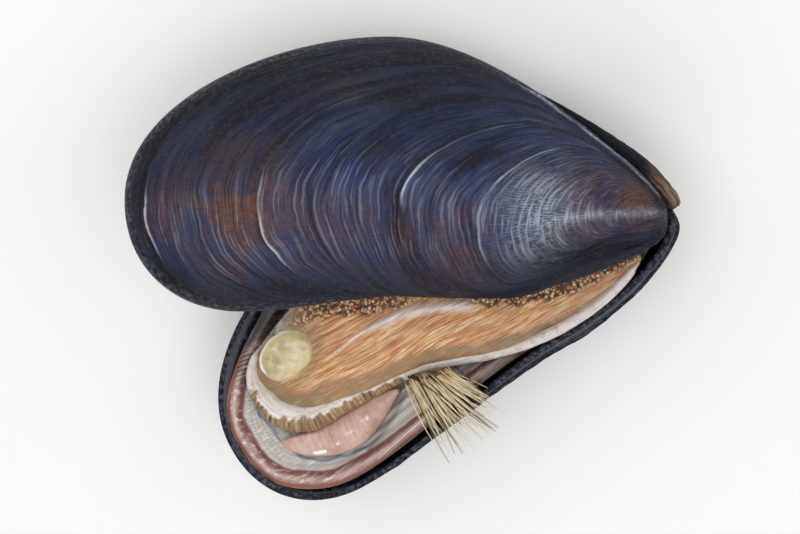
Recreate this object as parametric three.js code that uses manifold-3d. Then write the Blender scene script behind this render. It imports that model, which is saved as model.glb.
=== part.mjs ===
// A blue mussel lying open: two valves joined at the beak, with the soft body in the lower valve.
// Millimetres, +Z up. The part rests on a small flat cut into the belly of the lower valve.
import * as THREE from 'three';
import { mergeVertices } from 'three/addons/utils/BufferGeometryUtils.js';
import Module from 'manifold-3d';

// Shell sizes
const SHELL_LENGTH = 70;
const VALVE_DEPTH = 13;
const WALL = 1.1;
const RIM_WIDTH = 0.8;
const UPPER_FLANK_BULGE = 4.9;
const LOWER_FLANK_BULGE = 1.8;
const LEDGE_HEIGHT = 0.4;
const REST_FLAT_CUT = 0.8;

// How far along its growth the shell stopped and left a ledge, as shares of the full length
const GROWTH_STOPS = [0.23, 0.35, 0.43, 0.49, 0.64, 0.74, 0.86, 0.955];
const ROUNDS_BETWEEN_STOPS = [0.05, 0.12, 0.29, 0.565, 0.69, 0.8, 0.91, 1];

// How the valves lie: degrees about Z, then Y, then X, the beak's place, and the share of the full size
const UPPER_LIE = { turn: 0.3, lean: 6.9, roll: -12.9, beak: [0, 0, 0], size: 1 };
const LOWER_LIE = { turn: 32, lean: -2.7, roll: -16.8, beak: [0.42, 0.79, -1.5], size: 0.985 };

// How the pair rolls over onto the belly of the lower valve: degrees about X, then about Y
const REST_ROLL = { x: -12, y: -5 };

// Soft body sizes, in the lower valve's own frame with the rim plane at height zero
const GAP = 0.35;
const LOBE_LIFT = 1.1;
const LINING_INSET = 2.3;
const LINING_BACK = 2.4;
const LINING_EDGE = 0.45;
const LINING_SKIRT = 0.2;
const LINING_DISH = 3.2;
const LINING_DEPTH = 8.6;
const LINING_BULGE = 1.1;
const MANTLE_SIDE = 1.2;
const MANTLE_SWELL = 2.3;
const MUSCLE = { x: -56, y: 8.6, length: 8.6, width: 6.3, height: 1.5, turn: 5, floor: 0.9 };

// Facets around each form
const ROUND_STEPS = 48;
const HOLLOW_ROUNDS = [0.1, 0.3, 0.55, 0.8, 0.94, 1];
const DENSE_STEPS = 240;

const wasm = await Module();
wasm.setup();

// Closed forms

function closedGeometry(points, faces) {
  // An indexed mesh with its faces turned outward, whichever way they were listed.
  let volume = 0;
  const cross = new THREE.Vector3();
  for (const [a, b, c] of faces) {
    volume += points[a].dot(cross.crossVectors(points[b], points[c]));
  }
  const outward = volume > 0 ? faces : faces.map(([a, b, c]) => [a, c, b]);
  const geometry = new THREE.BufferGeometry();
  geometry.setAttribute('position', new THREE.Float32BufferAttribute(points.flatMap((p) => p.toArray()), 3));
  geometry.setIndex(outward.flat());
  return geometry;
}

function toSolid(geometry) {
  const bare = geometry.clone();
  bare.deleteAttribute('normal');
  bare.deleteAttribute('uv');
  const welded = mergeVertices(bare, 1e-4);
  const mesh = new wasm.Mesh({
    numProp: 3,
    vertProperties: new Float32Array(welded.attributes.position.array),
    triVerts: new Uint32Array(welded.index.array),
  });
  return new wasm.Manifold(mesh);
}

function toGeometry(solid) {
  const mesh = solid.getMesh();
  const geometry = new THREE.BufferGeometry();
  geometry.setAttribute('position', new THREE.Float32BufferAttribute(mesh.vertProperties, 3));
  geometry.setIndex(Array.from(mesh.triVerts));
  return geometry;
}

function fuse(geometries) {
  return geometries.map(toSolid).reduce((whole, next) => whole.add(next));
}

function bar(path, widthAt, heightAt, steps, sides) {
  // An ellipse carried along a path, its width level and its height upright, closed by a point at each end.
  const points = [path.getPointAt(0), path.getPointAt(1)];
  const faces = [];
  for (let step = 0; step <= steps; step += 1) {
    const share = step / steps;
    const centre = path.getPointAt(share);
    const along = path.getTangentAt(share);
    const across = new THREE.Vector3(-along.y, along.x, 0).normalize();
    const up = new THREE.Vector3().crossVectors(along, across);
    for (let side = 0; side < sides; side += 1) {
      const angle = (2 * Math.PI * side) / sides;
      const point = centre.clone();
      point.addScaledVector(across, widthAt(share) * Math.cos(angle));
      point.addScaledVector(up, heightAt(share) * Math.sin(angle));
      points.push(point);
    }
  }
  const at = (step, side) => 2 + step * sides + (side % sides);
  for (let side = 0; side < sides; side += 1) {
    faces.push([0, at(0, side + 1), at(0, side)]);
    faces.push([1, at(steps, side), at(steps, side + 1)]);
    for (let step = 0; step < steps; step += 1) {
      faces.push([at(step, side), at(step, side + 1), at(step + 1, side + 1)]);
      faces.push([at(step, side), at(step + 1, side + 1), at(step + 1, side)]);
    }
  }
  return closedGeometry(points, faces);
}

function pillow(loop, centre, shares, bottomAt, topAt) {
  // A cushion on a closed outline: scaled copies of the outline rise to the top and line the underside.
  const points = [];
  const faces = [];
  const count = loop.length;
  const addSheet = (heightAt) => {
    const start = points.length;
    points.push(new THREE.Vector3(centre.x, centre.y, heightAt(centre.x, centre.y, 0)));
    for (const share of shares) {
      for (const corner of loop) {
        const x = centre.x + share * (corner.x - centre.x);
        const y = centre.y + share * (corner.y - centre.y);
        points.push(new THREE.Vector3(x, y, heightAt(x, y, share)));
      }
    }
    return (round, step) => start + 1 + round * count + (step % count);
  };
  const top = addSheet(topAt);
  const bottom = addSheet(bottomAt);
  const last = shares.length - 1;
  for (let step = 0; step < count; step += 1) {
    faces.push([0, top(0, step), top(0, step + 1)]);
    faces.push([bottom(0, 0) - 1, bottom(0, step + 1), bottom(0, step)]);
    for (let round = 0; round < last; round += 1) {
      faces.push([top(round, step), top(round + 1, step), top(round + 1, step + 1)]);
      faces.push([top(round, step), top(round + 1, step + 1), top(round, step + 1)]);
      faces.push([bottom(round, step), bottom(round + 1, step + 1), bottom(round + 1, step)]);
      faces.push([bottom(round, step), bottom(round, step + 1), bottom(round + 1, step + 1)]);
    }
    faces.push([top(last, step), bottom(last, step), bottom(last, step + 1)]);
    faces.push([top(last, step), bottom(last, step + 1), top(last, step + 1)]);
  }
  return closedGeometry(points, faces);
}

// The valve's form: outline, margins and height

function shellOutline() {
  // Beak at the origin, long axis to -X, hinge side to +Y. Control points are in seventieths of the length.
  const unit = SHELL_LENGTH / 70;
  const path = new THREE.Path();
  const bend = (...numbers) => path.bezierCurveTo(...numbers.map((number) => number * unit));
  path.moveTo(0, 0);
  bend(0, 3.4, -4.6, 6.8, -9, 10.4);
  bend(-16.5, 16.4, -26.5, 23.3, -36, 23.3);
  bend(-50, 23.3, -70, 15.5, -70, 2.2);
  bend(-70, -6.6, -63.5, -12.2, -55, -12.2);
  bend(-44, -12.2, -32, -8.05, -20, -8.05);
  bend(-11, -7.7, 0, -5.2, 0, 0);
  return path.getSpacedPoints(DENSE_STEPS);
}

function insetLoop(loop, distance) {
  // Each point moved inward along the outline's normal, and the beak kept on the long axis.
  const last = loop.length - 1;
  return loop.map((point, index) => {
    if (index === 0 || index === last) {
      return new THREE.Vector2(-distance, 0);
    }
    const along = loop[index + 1].clone().sub(loop[index - 1]).normalize();
    return new THREE.Vector2(point.x - distance * along.y, point.y + distance * along.x);
  });
}

class ValveForm {
  // A dome over an outline: height is a hump along the length times a hump between the two margins.
  constructor(loop, depth, bulge) {
    const tip = loop.reduce((best, point, index) => (point.x < loop[best].x ? index : best), 0);
    this.loop = loop;
    this.depth = depth;
    this.bulge = bulge;
    this.beak = loop[0];
    this.length = loop[0].x - loop[tip].x;
    this.hingeSide = loop.slice(0, tip + 1);
    this.openSide = loop.slice(tip).reverse();
  }

  static marginAt(margin, x) {
    const next = margin.findIndex((point) => point.x <= x);
    if (next <= 0) {
      return margin[next === 0 ? 0 : margin.length - 1].y;
    }
    const from = margin[next - 1];
    const to = margin[next];
    return THREE.MathUtils.mapLinear(x, from.x, to.x, from.y, to.y);
  }

  static hump(share, rise, fall) {
    const crest = rise / (rise + fall);
    return (share ** rise * (1 - share) ** fall) / (crest ** rise * (1 - crest) ** fall);
  }

  shares(x, y) {
    const low = ValveForm.marginAt(this.openSide, x);
    const high = ValveForm.marginAt(this.hingeSide, x);
    const along = THREE.MathUtils.clamp((this.beak.x - x) / this.length, 0, 1);
    const across = THREE.MathUtils.clamp((y - low) / Math.max(high - low, 1e-6), 0, 1);
    return { along, across };
  }

  heightAt(x, y) {
    const { along, across } = this.shares(x, y);
    const crossHump = ValveForm.hump(across, 0.45 + 0.25 * along, 0.8 - 0.06 * along);
    return this.depth * ValveForm.hump(along, 0.53, 0.8) * crossHump;
  }

  pointAt(x, y) {
    // The flank of the open side swells past the margin, most of all ahead of the middle.
    const { along, across } = this.shares(x, y);
    const where = Math.exp(-(((along - 0.34) / 0.2) ** 2));
    const swell = (across / 0.12) * Math.exp(1 - across / 0.12);
    return new THREE.Vector3(x, y - this.bulge * where * swell, this.heightAt(x, y));
  }

  rounds(shares, steps) {
    // Copies of the outline scaled about the beak, as the shell grew, without the beak itself.
    return shares.map((share) => {
      const ring = [];
      for (let step = 1; step < steps; step += 1) {
        const corner = this.loop[Math.round((step * (this.loop.length - 1)) / steps)];
        const x = this.beak.x + share * (corner.x - this.beak.x);
        const y = this.beak.y + share * (corner.y - this.beak.y);
        ring.push(this.pointAt(x, y));
      }
      return ring;
    });
  }
}

function nestedSolid(outerBeak, outerRounds, innerBeak, innerRounds) {
  // Two sheets of nested rounds that share a beak, joined along their last rounds.
  const points = [];
  const faces = [];
  const addSheet = (beak, rounds, facing) => {
    const start = points.length;
    points.push(beak, ...rounds.flat());
    const count = rounds[0].length;
    const at = (round, step) => start + 1 + round * count + step;
    const add = (a, b, c) => faces.push(facing > 0 ? [a, b, c] : [a, c, b]);
    for (let step = 0; step < count - 1; step += 1) {
      add(start, at(0, step), at(0, step + 1));
    }
    for (let round = 0; round < rounds.length - 1; round += 1) {
      add(start, at(round + 1, 0), at(round, 0));
      add(start, at(round, count - 1), at(round + 1, count - 1));
      for (let step = 0; step < count - 1; step += 1) {
        add(at(round, step), at(round + 1, step), at(round + 1, step + 1));
        add(at(round, step), at(round + 1, step + 1), at(round, step + 1));
      }
    }
    const lastRound = Array.from({ length: count }, (_, step) => at(rounds.length - 1, step));
    return [start, ...lastRound];
  };
  const outerEdge = addSheet(outerBeak, outerRounds, 1);
  const innerEdge = addSheet(innerBeak, innerRounds, -1);
  outerEdge.forEach((a, index) => {
    const next = (index + 1) % outerEdge.length;
    faces.push([a, innerEdge[index], outerEdge[next]]);
    faces.push([outerEdge[next], innerEdge[index], innerEdge[next]]);
  });
  return closedGeometry(points, faces);
}

function ledgeRounds(form) {
  // Each band of growth rises to a lip, and the next band starts a step below it.
  const starts = [0, ...GROWTH_STOPS];
  const ends = [...GROWTH_STOPS, 1.06];
  const lift = (share, band) => (LEDGE_HEIGHT * (share - starts[band])) / (ends[band] - starts[band]);
  const rounds = [];
  starts.forEach((start, band) => {
    const inside = ROUNDS_BETWEEN_STOPS.filter((share) => share > start && share < ends[band]);
    const shares = band === 0 ? inside : [start + 0.006, ...inside];
    const lip = ends[band] < 1 ? [ends[band] - 0.002] : [];
    for (const share of [...shares, ...lip]) {
      rounds.push({ share, lift: share < 1 ? lift(share, band) : 0 });
    }
  });
  const rings = form.rounds(rounds.map((round) => round.share), ROUND_STEPS);
  rings.forEach((ring, index) => {
    for (const point of ring) {
      point.z += rounds[index].lift * Math.min(1, point.z / 2);
    }
  });
  return rings;
}

function valve(bulge) {
  const loop = shellOutline();
  const outside = new ValveForm(loop, VALVE_DEPTH, bulge);
  const inside = new ValveForm(insetLoop(loop, RIM_WIDTH), VALVE_DEPTH - WALL, bulge);
  const innerBeak = new THREE.Vector3(inside.beak.x, inside.beak.y, 0);
  const hollow = inside.rounds(HOLLOW_ROUNDS, ROUND_STEPS);
  return nestedSolid(new THREE.Vector3(), ledgeRounds(outside), innerBeak, hollow);
}

function placement(lie) {
  const { degToRad } = THREE.MathUtils;
  const angles = new THREE.Euler(degToRad(lie.roll), degToRad(lie.lean), degToRad(lie.turn), 'ZYX');
  const turned = new THREE.Quaternion().setFromEuler(angles);
  const size = new THREE.Vector3(lie.size, lie.size, lie.size);
  return new THREE.Matrix4().compose(new THREE.Vector3(...lie.beak), turned, size).premultiply(restRoll);
}

const restRoll = new THREE.Matrix4().makeRotationX(THREE.MathUtils.degToRad(REST_ROLL.x));
restRoll.premultiply(new THREE.Matrix4().makeRotationY(THREE.MathUtils.degToRad(REST_ROLL.y)));
const upperPlace = placement(UPPER_LIE);
const lowerPlace = placement(LOWER_LIE);

// Valves

function upperValve() {
  return valve(UPPER_FLANK_BULGE).applyMatrix4(upperPlace);
}

function mirrored(geometry) {
  // The same form turned over in its rim plane, with its faces listed the other way round.
  const flipped = geometry.clone().scale(1, 1, -1);
  const index = Array.from(flipped.index.array);
  for (let corner = 0; corner < index.length; corner += 3) {
    [index[corner + 1], index[corner + 2]] = [index[corner + 2], index[corner + 1]];
  }
  return flipped.setIndex(index);
}

function lowerValve() {
  const whole = mirrored(valve(LOWER_FLANK_BULGE)).applyMatrix4(lowerPlace);
  whole.computeBoundingBox();
  const { min, max } = whole.boundingBox;
  const block = new THREE.BoxGeometry(2 * SHELL_LENGTH, 2 * SHELL_LENGTH, VALVE_DEPTH);
  block.translate((min.x + max.x) / 2, (min.y + max.y) / 2, min.z + REST_FLAT_CUT - VALVE_DEPTH / 2);
  return toGeometry(toSolid(whole).subtract(toSolid(block)));
}

function hingeLigament() {
  // A dark band outside the hinge margin of the upper valve, round the beaks and back along the lower valve.
  const radius = (share) => 0.35 + 0.45 * Math.sin(Math.PI * share) ** 1.2;
  const loop = shellOutline();
  const beside = (place, arm) => arm.map(([step, thickness]) => {
    const { x, y } = insetLoop(loop, -GAP - thickness)[step];
    return new THREE.Vector3(x, y, 0).applyMatrix4(place);
  });
  const upperArm = beside(upperPlace, [[34, 0.4], [26, 0.6], [18, 0.8], [9, 0.95]]);
  const lowerArm = beside(lowerPlace, [[8, 1.2], [14, 1], [20, 0.7]]);
  const beaks = new THREE.Vector3(1.9, 1.7, -0.6).applyMatrix4(restRoll);
  const path = new THREE.CatmullRomCurve3([...upperArm, beaks, ...lowerArm]);
  return bar(path, radius, radius, 18, 7);
}

// Soft body, in the lower valve's frame

function liningOutline() {
  // The valve's outline drawn in all round, and drawn back from the beak.
  const squeeze = 1 - LINING_BACK / SHELL_LENGTH;
  const inset = insetLoop(shellOutline(), LINING_INSET);
  return inset.map((point) => new THREE.Vector2(point.x * squeeze - LINING_BACK, point.y));
}

const liningLoop = liningOutline();
const dish = new ValveForm(liningLoop, LINING_DISH, 0);

function dishHeight(x, y) {
  return -LINING_EDGE - dish.heightAt(x, y);
}

function lowerMantle() {
  // The lobe that lines the lower valve: its top is a shallow dish and its underside follows the hollow.
  const below = new ValveForm(liningLoop, LINING_DEPTH, LINING_BULGE);
  const beak = (height) => new THREE.Vector3(dish.beak.x, dish.beak.y, height);
  const top = dish.rounds(HOLLOW_ROUNDS, ROUND_STEPS);
  const bottom = below.rounds(HOLLOW_ROUNDS, ROUND_STEPS);
  for (const point of top.flat()) {
    point.z = -LINING_EDGE - point.z;
  }
  for (const point of bottom.flat()) {
    point.z = -LINING_EDGE - LINING_SKIRT - point.z;
  }
  return nestedSolid(beak(-LINING_EDGE), top, beak(-LINING_EDGE - LINING_SKIRT), bottom);
}

function restingPath(corners, radius) {
  // A path that runs over the dish with the bar's underside clear of its facets.
  const points = corners.map(([x, y]) => new THREE.Vector3(x, y, dishHeight(x, y) + LOBE_LIFT + radius));
  return new THREE.CatmullRomCurve3(points);
}

function roundedEnds(share, full) {
  return full * Math.max(0.25, Math.min(1, Math.sin(Math.PI * share) * 3));
}

const MANTLE_EDGE = [
  [-8.4, -2.6], [-12, -4], [-17, -4.9], [-24, -5], [-30, -4.4], [-36.2, -2.8], [-42.8, -1.6], [-48, -1.2],
  [-53, -0.9], [-57.8, -0.4], [-60.6, 1.4], [-61.9, 4.6], [-61.6, 8.2], [-58.5, 11.6], [-52, 13.8],
];
const MANTLE_HINGE_SIDE = [
  [-45, 15.8], [-37, 16.4], [-28, 13.6], [-20, 8.8], [-13, 4.6], [-8.6, 1.8], [-7, -0.4],
];

function muscleOutline(clearance) {
  const shape = new THREE.Shape();
  const { length, width } = MUSCLE;
  shape.absellipse(0, 0, length / 2 + clearance, width / 2 + clearance, 0, 2 * Math.PI);
  return shape;
}

function muscleBlock(clearance, height, bevel) {
  // An oval block that stands on the floor of the muscle's seat.
  const block = new THREE.ExtrudeGeometry(muscleOutline(clearance - bevel), {
    depth: height - bevel,
    curveSegments: 9,
    bevelEnabled: bevel > 0,
    bevelThickness: bevel,
    bevelSize: bevel,
    bevelSegments: 1,
  });
  block.rotateZ(THREE.MathUtils.degToRad(MUSCLE.turn));
  return block.translate(MUSCLE.x, MUSCLE.y, MUSCLE.floor + bevel);
}

function mantle() {
  // The orange lobe over the body and its rolled edge, thickest at the broad end where it is ruffled.
  const loop = [...MANTLE_EDGE, ...MANTLE_HINGE_SIDE].map(([x, y]) => new THREE.Vector3(x, y, 0));
  const outline = new THREE.CatmullRomCurve3(loop, true).getSpacedPoints(40).slice(0, 40);
  const underside = (x, y) => dishHeight(x, y) + LOBE_LIFT;
  const topside = (x, y, share) => {
    const swell = MANTLE_SWELL * Math.sqrt(Math.max(0, 1 - share ** 3));
    return dishHeight(x, y) * 0.35 + MANTLE_SIDE + swell;
  };
  const centre = new THREE.Vector2(-38, 5.5);
  const lobe = pillow(outline, centre, [0.4, 0.7, 0.88, 1], underside, topside);
  const rollRadius = 1.7;
  const roll = bar(
    restingPath(MANTLE_EDGE, rollRadius),
    (share) => roundedEnds(share, 0.8 + 1.15 * Math.exp(-(((share - 0.72) / 0.14) ** 2))),
    (share) => roundedEnds(share, rollRadius),
    26,
    8,
  );
  const seat = muscleBlock(GAP, 6, 0);
  return toGeometry(fuse([lobe, roll]).subtract(toSolid(seat)));
}

function adductorMuscle() {
  return muscleBlock(0, MUSCLE.height, 0.5).translate(0, 0, GAP);
}

function foot() {
  // A tongue that lies beside the rolled edge and tapers to a rounded tip.
  const corners = [[-45.6, -4], [-49.5, -5], [-54, -5.3], [-58.5, -4.5], [-61.4, -2.9], [-62.8, -1.6]];
  const width = (share) => 1.95 * Math.sin(Math.PI * (0.1 + 0.84 * share)) ** 0.7;
  return bar(restingPath(corners, 1.1), width, (share) => 0.55 * width(share), 18, 8);
}

function byssus() {
  // A bundle of threads from a short root, over the rim of the valve to the tips of the beard.
  const root = new THREE.Vector3(-39.2, -4, 0.7);
  const tips = [
    [-43.8, -12.8, -0.9], [-42.4, -14.6, -1.2], [-40, -14.4, -1.3], [-37.6, -14.2, -1.4],
    [-35.4, -13.9, -1.2], [-33.6, -12, -0.6], [-33.4, -10.2, 1.2],
  ];
  const strands = tips.map((corner) => {
    const tip = new THREE.Vector3(...corner);
    const start = root.clone().lerp(tip, -0.06);
    const rise = root.clone().lerp(tip, 0.55);
    rise.z = 3;
    const path = new THREE.QuadraticBezierCurve3(start, rise, tip);
    return bar(path, (share) => 0.42 - 0.24 * share, (share) => 0.42 - 0.24 * share, 4, 5);
  });
  const bulb = new THREE.SphereGeometry(0.85, 8, 6);
  bulb.translate(root.x, root.y, root.z);
  return toGeometry(fuse([bulb, ...strands]));
}

// Assembly

const inLowerValve = (geometry) => geometry.applyMatrix4(lowerPlace);

const pieces = [
  { name: 'upper_valve', geometry: upperValve(), colour: 0x2b3448, roughness: 0.42 },
  { name: 'lower_valve', geometry: lowerValve(), colour: 0x232b3d, roughness: 0.42 },
  { name: 'hinge_ligament', geometry: hingeLigament(), colour: 0x2a211d, roughness: 0.6 },
  { name: 'lower_mantle', geometry: inLowerValve(lowerMantle()), colour: 0xb8a29b, roughness: 0.35 },
  { name: 'mantle', geometry: inLowerValve(mantle()), colour: 0xc68a55, roughness: 0.4 },
  { name: 'adductor_muscle', geometry: inLowerValve(adductorMuscle()), colour: 0xd6cca0, roughness: 0.4 },
  { name: 'foot', geometry: inLowerValve(foot()), colour: 0xc49a8e, roughness: 0.3 },
  { name: 'byssus', geometry: inLowerValve(byssus()), colour: 0x8f7446, roughness: 0.7 },
];

const whole = new THREE.Box3();
for (const { geometry } of pieces) {
  geometry.computeBoundingBox();
  whole.union(geometry.boundingBox);
}
const middle = whole.getCenter(new THREE.Vector3());

const group = new THREE.Group();
group.name = 'open_mussel';
for (const { name, geometry, colour, roughness } of pieces) {
  geometry.translate(-middle.x, -middle.y, -whole.min.z);
  const material = new THREE.MeshStandardMaterial({ color: colour, roughness, metalness: 0 });
  const mesh = new THREE.Mesh(geometry, material);
  mesh.name = name;
  group.add(mesh);
}

export default group;
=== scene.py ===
"""Dresses an open mussel: ridged valves, ligament, soft body and beard, with its camera and light.

Shapes are worked out in millimetres in a valve's own frame (beak at the origin, long axis to -X, hinge
side to +Y, rim plane at height zero) and put into the row frame in metres.
"""

import logging
import math
from dataclasses import dataclass, field
from enum import Enum

import bpy
import numpy as np
from mathutils import Matrix, Vector


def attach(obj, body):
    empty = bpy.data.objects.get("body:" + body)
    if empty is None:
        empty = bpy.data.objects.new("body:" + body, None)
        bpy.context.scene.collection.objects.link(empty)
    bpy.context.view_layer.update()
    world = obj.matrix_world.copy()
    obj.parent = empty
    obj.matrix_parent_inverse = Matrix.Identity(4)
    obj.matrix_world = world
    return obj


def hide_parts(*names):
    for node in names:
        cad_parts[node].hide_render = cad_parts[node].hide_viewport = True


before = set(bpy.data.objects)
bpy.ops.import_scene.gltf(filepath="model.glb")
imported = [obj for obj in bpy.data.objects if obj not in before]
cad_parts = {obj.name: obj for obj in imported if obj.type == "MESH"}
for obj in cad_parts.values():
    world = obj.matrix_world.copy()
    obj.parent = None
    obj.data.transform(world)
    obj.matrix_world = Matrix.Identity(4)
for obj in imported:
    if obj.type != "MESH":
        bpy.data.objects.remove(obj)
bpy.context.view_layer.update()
LOG = logging.getLogger("mussel")
MM = 0.001
Array = np.ndarray


class Side(Enum):
    """Which valve: the upper dome rises from its rim plane and the lower one hangs from it."""

    UPPER = 1
    LOWER = -1


# Shape helpers


def smooth_step(low: float, high: float, value: Array) -> Array:
    """Rises smoothly from 0 at low to 1 at high, and falls where low is the larger."""
    share = np.clip((value - low) / (high - low), 0.0, 1.0)
    return share * share * (3.0 - 2.0 * share)


def bell(value: Array, width: float) -> Array:
    """A bell curve of height 1 about zero."""
    return np.exp(-((value / width) ** 2))


def waves(x: Array, y: Array, length: float, seed: int, count: int = 9) -> Array:
    """Gentle unevenness: the mean of plane waves with seeded headings and phases.

    Args:
        x, y: Places, in any one unit.
        length: About the distance between crests, in that unit.
        seed: Chooses the waves.
        count: How many waves are added.

    Returns:
        Values of about -1 to 1.
    """
    random = np.random.default_rng(seed)
    total = np.zeros(np.broadcast_shapes(np.shape(x), np.shape(y)))
    for heading, phase, stretch in random.uniform((0, 0, 0.6), (math.pi, 2 * math.pi, 1.7), (count, 3)):
        number = 2 * math.pi / (length * stretch)
        total += np.sin(number * (x * math.cos(heading) + y * math.sin(heading)) + phase)
    return total / math.sqrt(count) * 0.8


def even_steps(points: Array, count: int) -> Array:
    """The points of a polyline spaced evenly along its length.

    Args:
        points: Corners, one row each.
        count: Number of steps; the result has one row more.

    Returns:
        The spaced points.
    """
    steps = np.linalg.norm(np.diff(points, axis=0), axis=1)
    run = np.concatenate(([0.0], np.cumsum(steps)))
    wanted = np.linspace(0.0, run[-1], count + 1)
    return np.stack([np.interp(wanted, run, column) for column in points.T], axis=1)


def smooth_path(corners: Array, count: int, closed: bool = False) -> Array:
    """A curve through the corners: between two of them, the cubic set by those two and their neighbours.

    Args:
        corners: Points to pass through, one row each.
        count: Number of even steps along the result.
        closed: Whether the last corner joins the first.

    Returns:
        The points, count + 1 rows.
    """
    if closed:
        padded = np.vstack([corners[-1:], corners, corners[:2]])
    else:
        padded = np.vstack([2 * corners[0] - corners[1], corners, 2 * corners[-1] - corners[-2]])
    share = np.linspace(0.0, 1.0, 24, endpoint=False)[None, :, None]
    before, start, end, after = (padded[i : len(padded) - 3 + i][:, None, :] for i in range(4))
    curve = 0.5 * (
        2 * start
        + (end - before) * share
        + (2 * before - 5 * start + 4 * end - after) * share**2
        + (3 * start - before - 3 * end + after) * share**3
    )
    dense = np.vstack([curve.reshape(-1, corners.shape[1]), padded[-2:-1]])
    return even_steps(dense, count)


def nearest(points: Array, line: Array) -> tuple[Array, Array]:
    """Plan distance of each point to a dense line, and the side of the line on which it lies.

    Args:
        points: Places, any shape ending in x and y.
        line: Dense points of the line.

    Returns:
        The distances, and 1 on the left of the line or -1 on its right.
    """
    ahead = np.gradient(line, axis=0)
    gaps, sides = [], []
    for part in np.array_split(points.reshape(-1, 2), 40):
        apart = part[:, None, :] - line[None]
        length = np.hypot(apart[..., 0], apart[..., 1])
        closest = length.argmin(1)
        row = np.arange(len(part))
        gaps.append(length[row, closest])
        step, off = ahead[closest], apart[row, closest]
        sides.append(np.sign(step[:, 0] * off[:, 1] - step[:, 1] * off[:, 0]))
    shape = points.shape[:-1]
    return np.concatenate(gaps).reshape(shape), np.concatenate(sides).reshape(shape)


def distance_to(points: Array, line: Array) -> Array:
    """Plan distance of each point to a dense line."""
    return nearest(points, line)[0]


# Meshes from arrays


@dataclass
class Surface:
    """Points in millimetres, the faces between them, and one number per point for each named attribute."""

    points: Array
    quads: Array
    tris: Array
    facts: dict[str, Array] = field(default_factory=dict)
    second_finish: Array | None = None

    def to_object(self, name: str, place: "Lie") -> bpy.types.Object:
        """Puts the surface into a mesh in the row frame.

        Args:
            name: The piece's name.
            place: How the surface's own frame lies in the row frame.

        Returns:
            The new object, at the origin, smooth shaded.
        """
        mesh = bpy.data.meshes.new(name)
        rows = place.to_row(self.points)
        loops = np.concatenate([self.quads.ravel(), self.tris.ravel()]).astype(np.int32)
        starts = np.concatenate(
            [4 * np.arange(len(self.quads)), self.quads.size + 3 * np.arange(len(self.tris))]
        )
        mesh.vertices.add(len(rows))
        mesh.vertices.foreach_set("co", rows.astype(np.float32).ravel())
        mesh.loops.add(len(loops))
        mesh.loops.foreach_set("vertex_index", loops)
        mesh.polygons.add(len(starts))
        mesh.polygons.foreach_set("loop_start", starts.astype(np.int32))
        mesh.polygons.foreach_set("use_smooth", np.ones(len(starts), dtype=bool))
        if self.second_finish is not None:
            mesh.polygons.foreach_set("material_index", self.second_finish.astype(np.int32))
        mesh.update(calc_edges=True)
        for fact, values in self.facts.items():
            layer = mesh.attributes.new(fact, "FLOAT", "POINT")
            layer.data.foreach_set("value", np.asarray(values, dtype=np.float32).ravel())
        piece = bpy.data.objects.new(name, mesh)
        bpy.context.collection.objects.link(piece)
        return piece


def nested_faces(rounds: int, around: int, start: int) -> tuple[Array, Array, Array]:
    """Faces of nested rounds that all pass through one shared beak point.

    Args:
        rounds: Number of rounds, smallest first.
        around: Points in each round, without the beak.
        start: Index of the beak; the rounds follow it.

    Returns:
        Quads, triangles, and the indices of the outermost round with the beak first.
    """
    index = start + 1 + np.arange(rounds * around).reshape(rounds, around)
    quads = np.stack([index[:-1, :-1], index[1:, :-1], index[1:, 1:], index[:-1, 1:]], axis=-1).reshape(-1, 4)
    beak = np.full(rounds - 1, start)
    tris = np.vstack(
        [
            np.stack([np.full(around - 1, start), index[0, :-1], index[0, 1:]], axis=1),
            np.stack([beak, index[1:, 0], index[:-1, 0]], axis=1),
            np.stack([beak, index[:-1, -1], index[1:, -1]], axis=1),
        ]
    )
    return quads, tris, np.concatenate(([start], index[-1]))


def join_edges(first: Array, second: Array) -> Array:
    """Quads between two closed rows of points of equal count."""
    return np.stack([first, second, np.roll(second, -1), np.roll(first, -1)], axis=1)


def two_sheets(top: Array, bottom: Array, facts: dict[str, tuple[Array, Array]]) -> Surface:
    """A closed form from two sheets of nested rounds, joined along their outer rounds.

    Args:
        top: Rounds of the sheet that faces up, first point of each round at its beak.
        bottom: The same for the sheet that faces down.
        facts: For each attribute, its values on the two sheets.

    Returns:
        The surface; its second finish marks the bottom sheet.
    """
    count = top.shape[1] - 1
    points, quads, tris, edges, split = [], [], [], [], []
    start = 0
    for sheet, facing in ((top, 1), (bottom, -1)):
        four, three, edge = nested_faces(len(sheet), count, start)
        points += [sheet[:1, 0], sheet[:, 1:].reshape(-1, 3)]
        quads.append(four[:, ::facing])
        tris.append(three[:, ::facing])
        split.append((len(four), len(three)))
        edges.append(edge)
        start += 1 + len(sheet) * count
    rim = join_edges(edges[1], edges[0])[:, ::-1]
    named = {
        name: np.concatenate([np.concatenate((side[:1, 0], side[:, 1:].ravel())) for side in sides])
        for name, sides in facts.items()
    }
    marks = [
        np.zeros(split[0][0]),
        np.ones(split[1][0]),
        np.zeros(len(rim)),
        np.zeros(split[0][1]),
        np.ones(split[1][1]),
    ]
    return Surface(np.vstack(points), np.vstack([*quads, rim]), np.vstack(tris), named, np.concatenate(marks))


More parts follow.
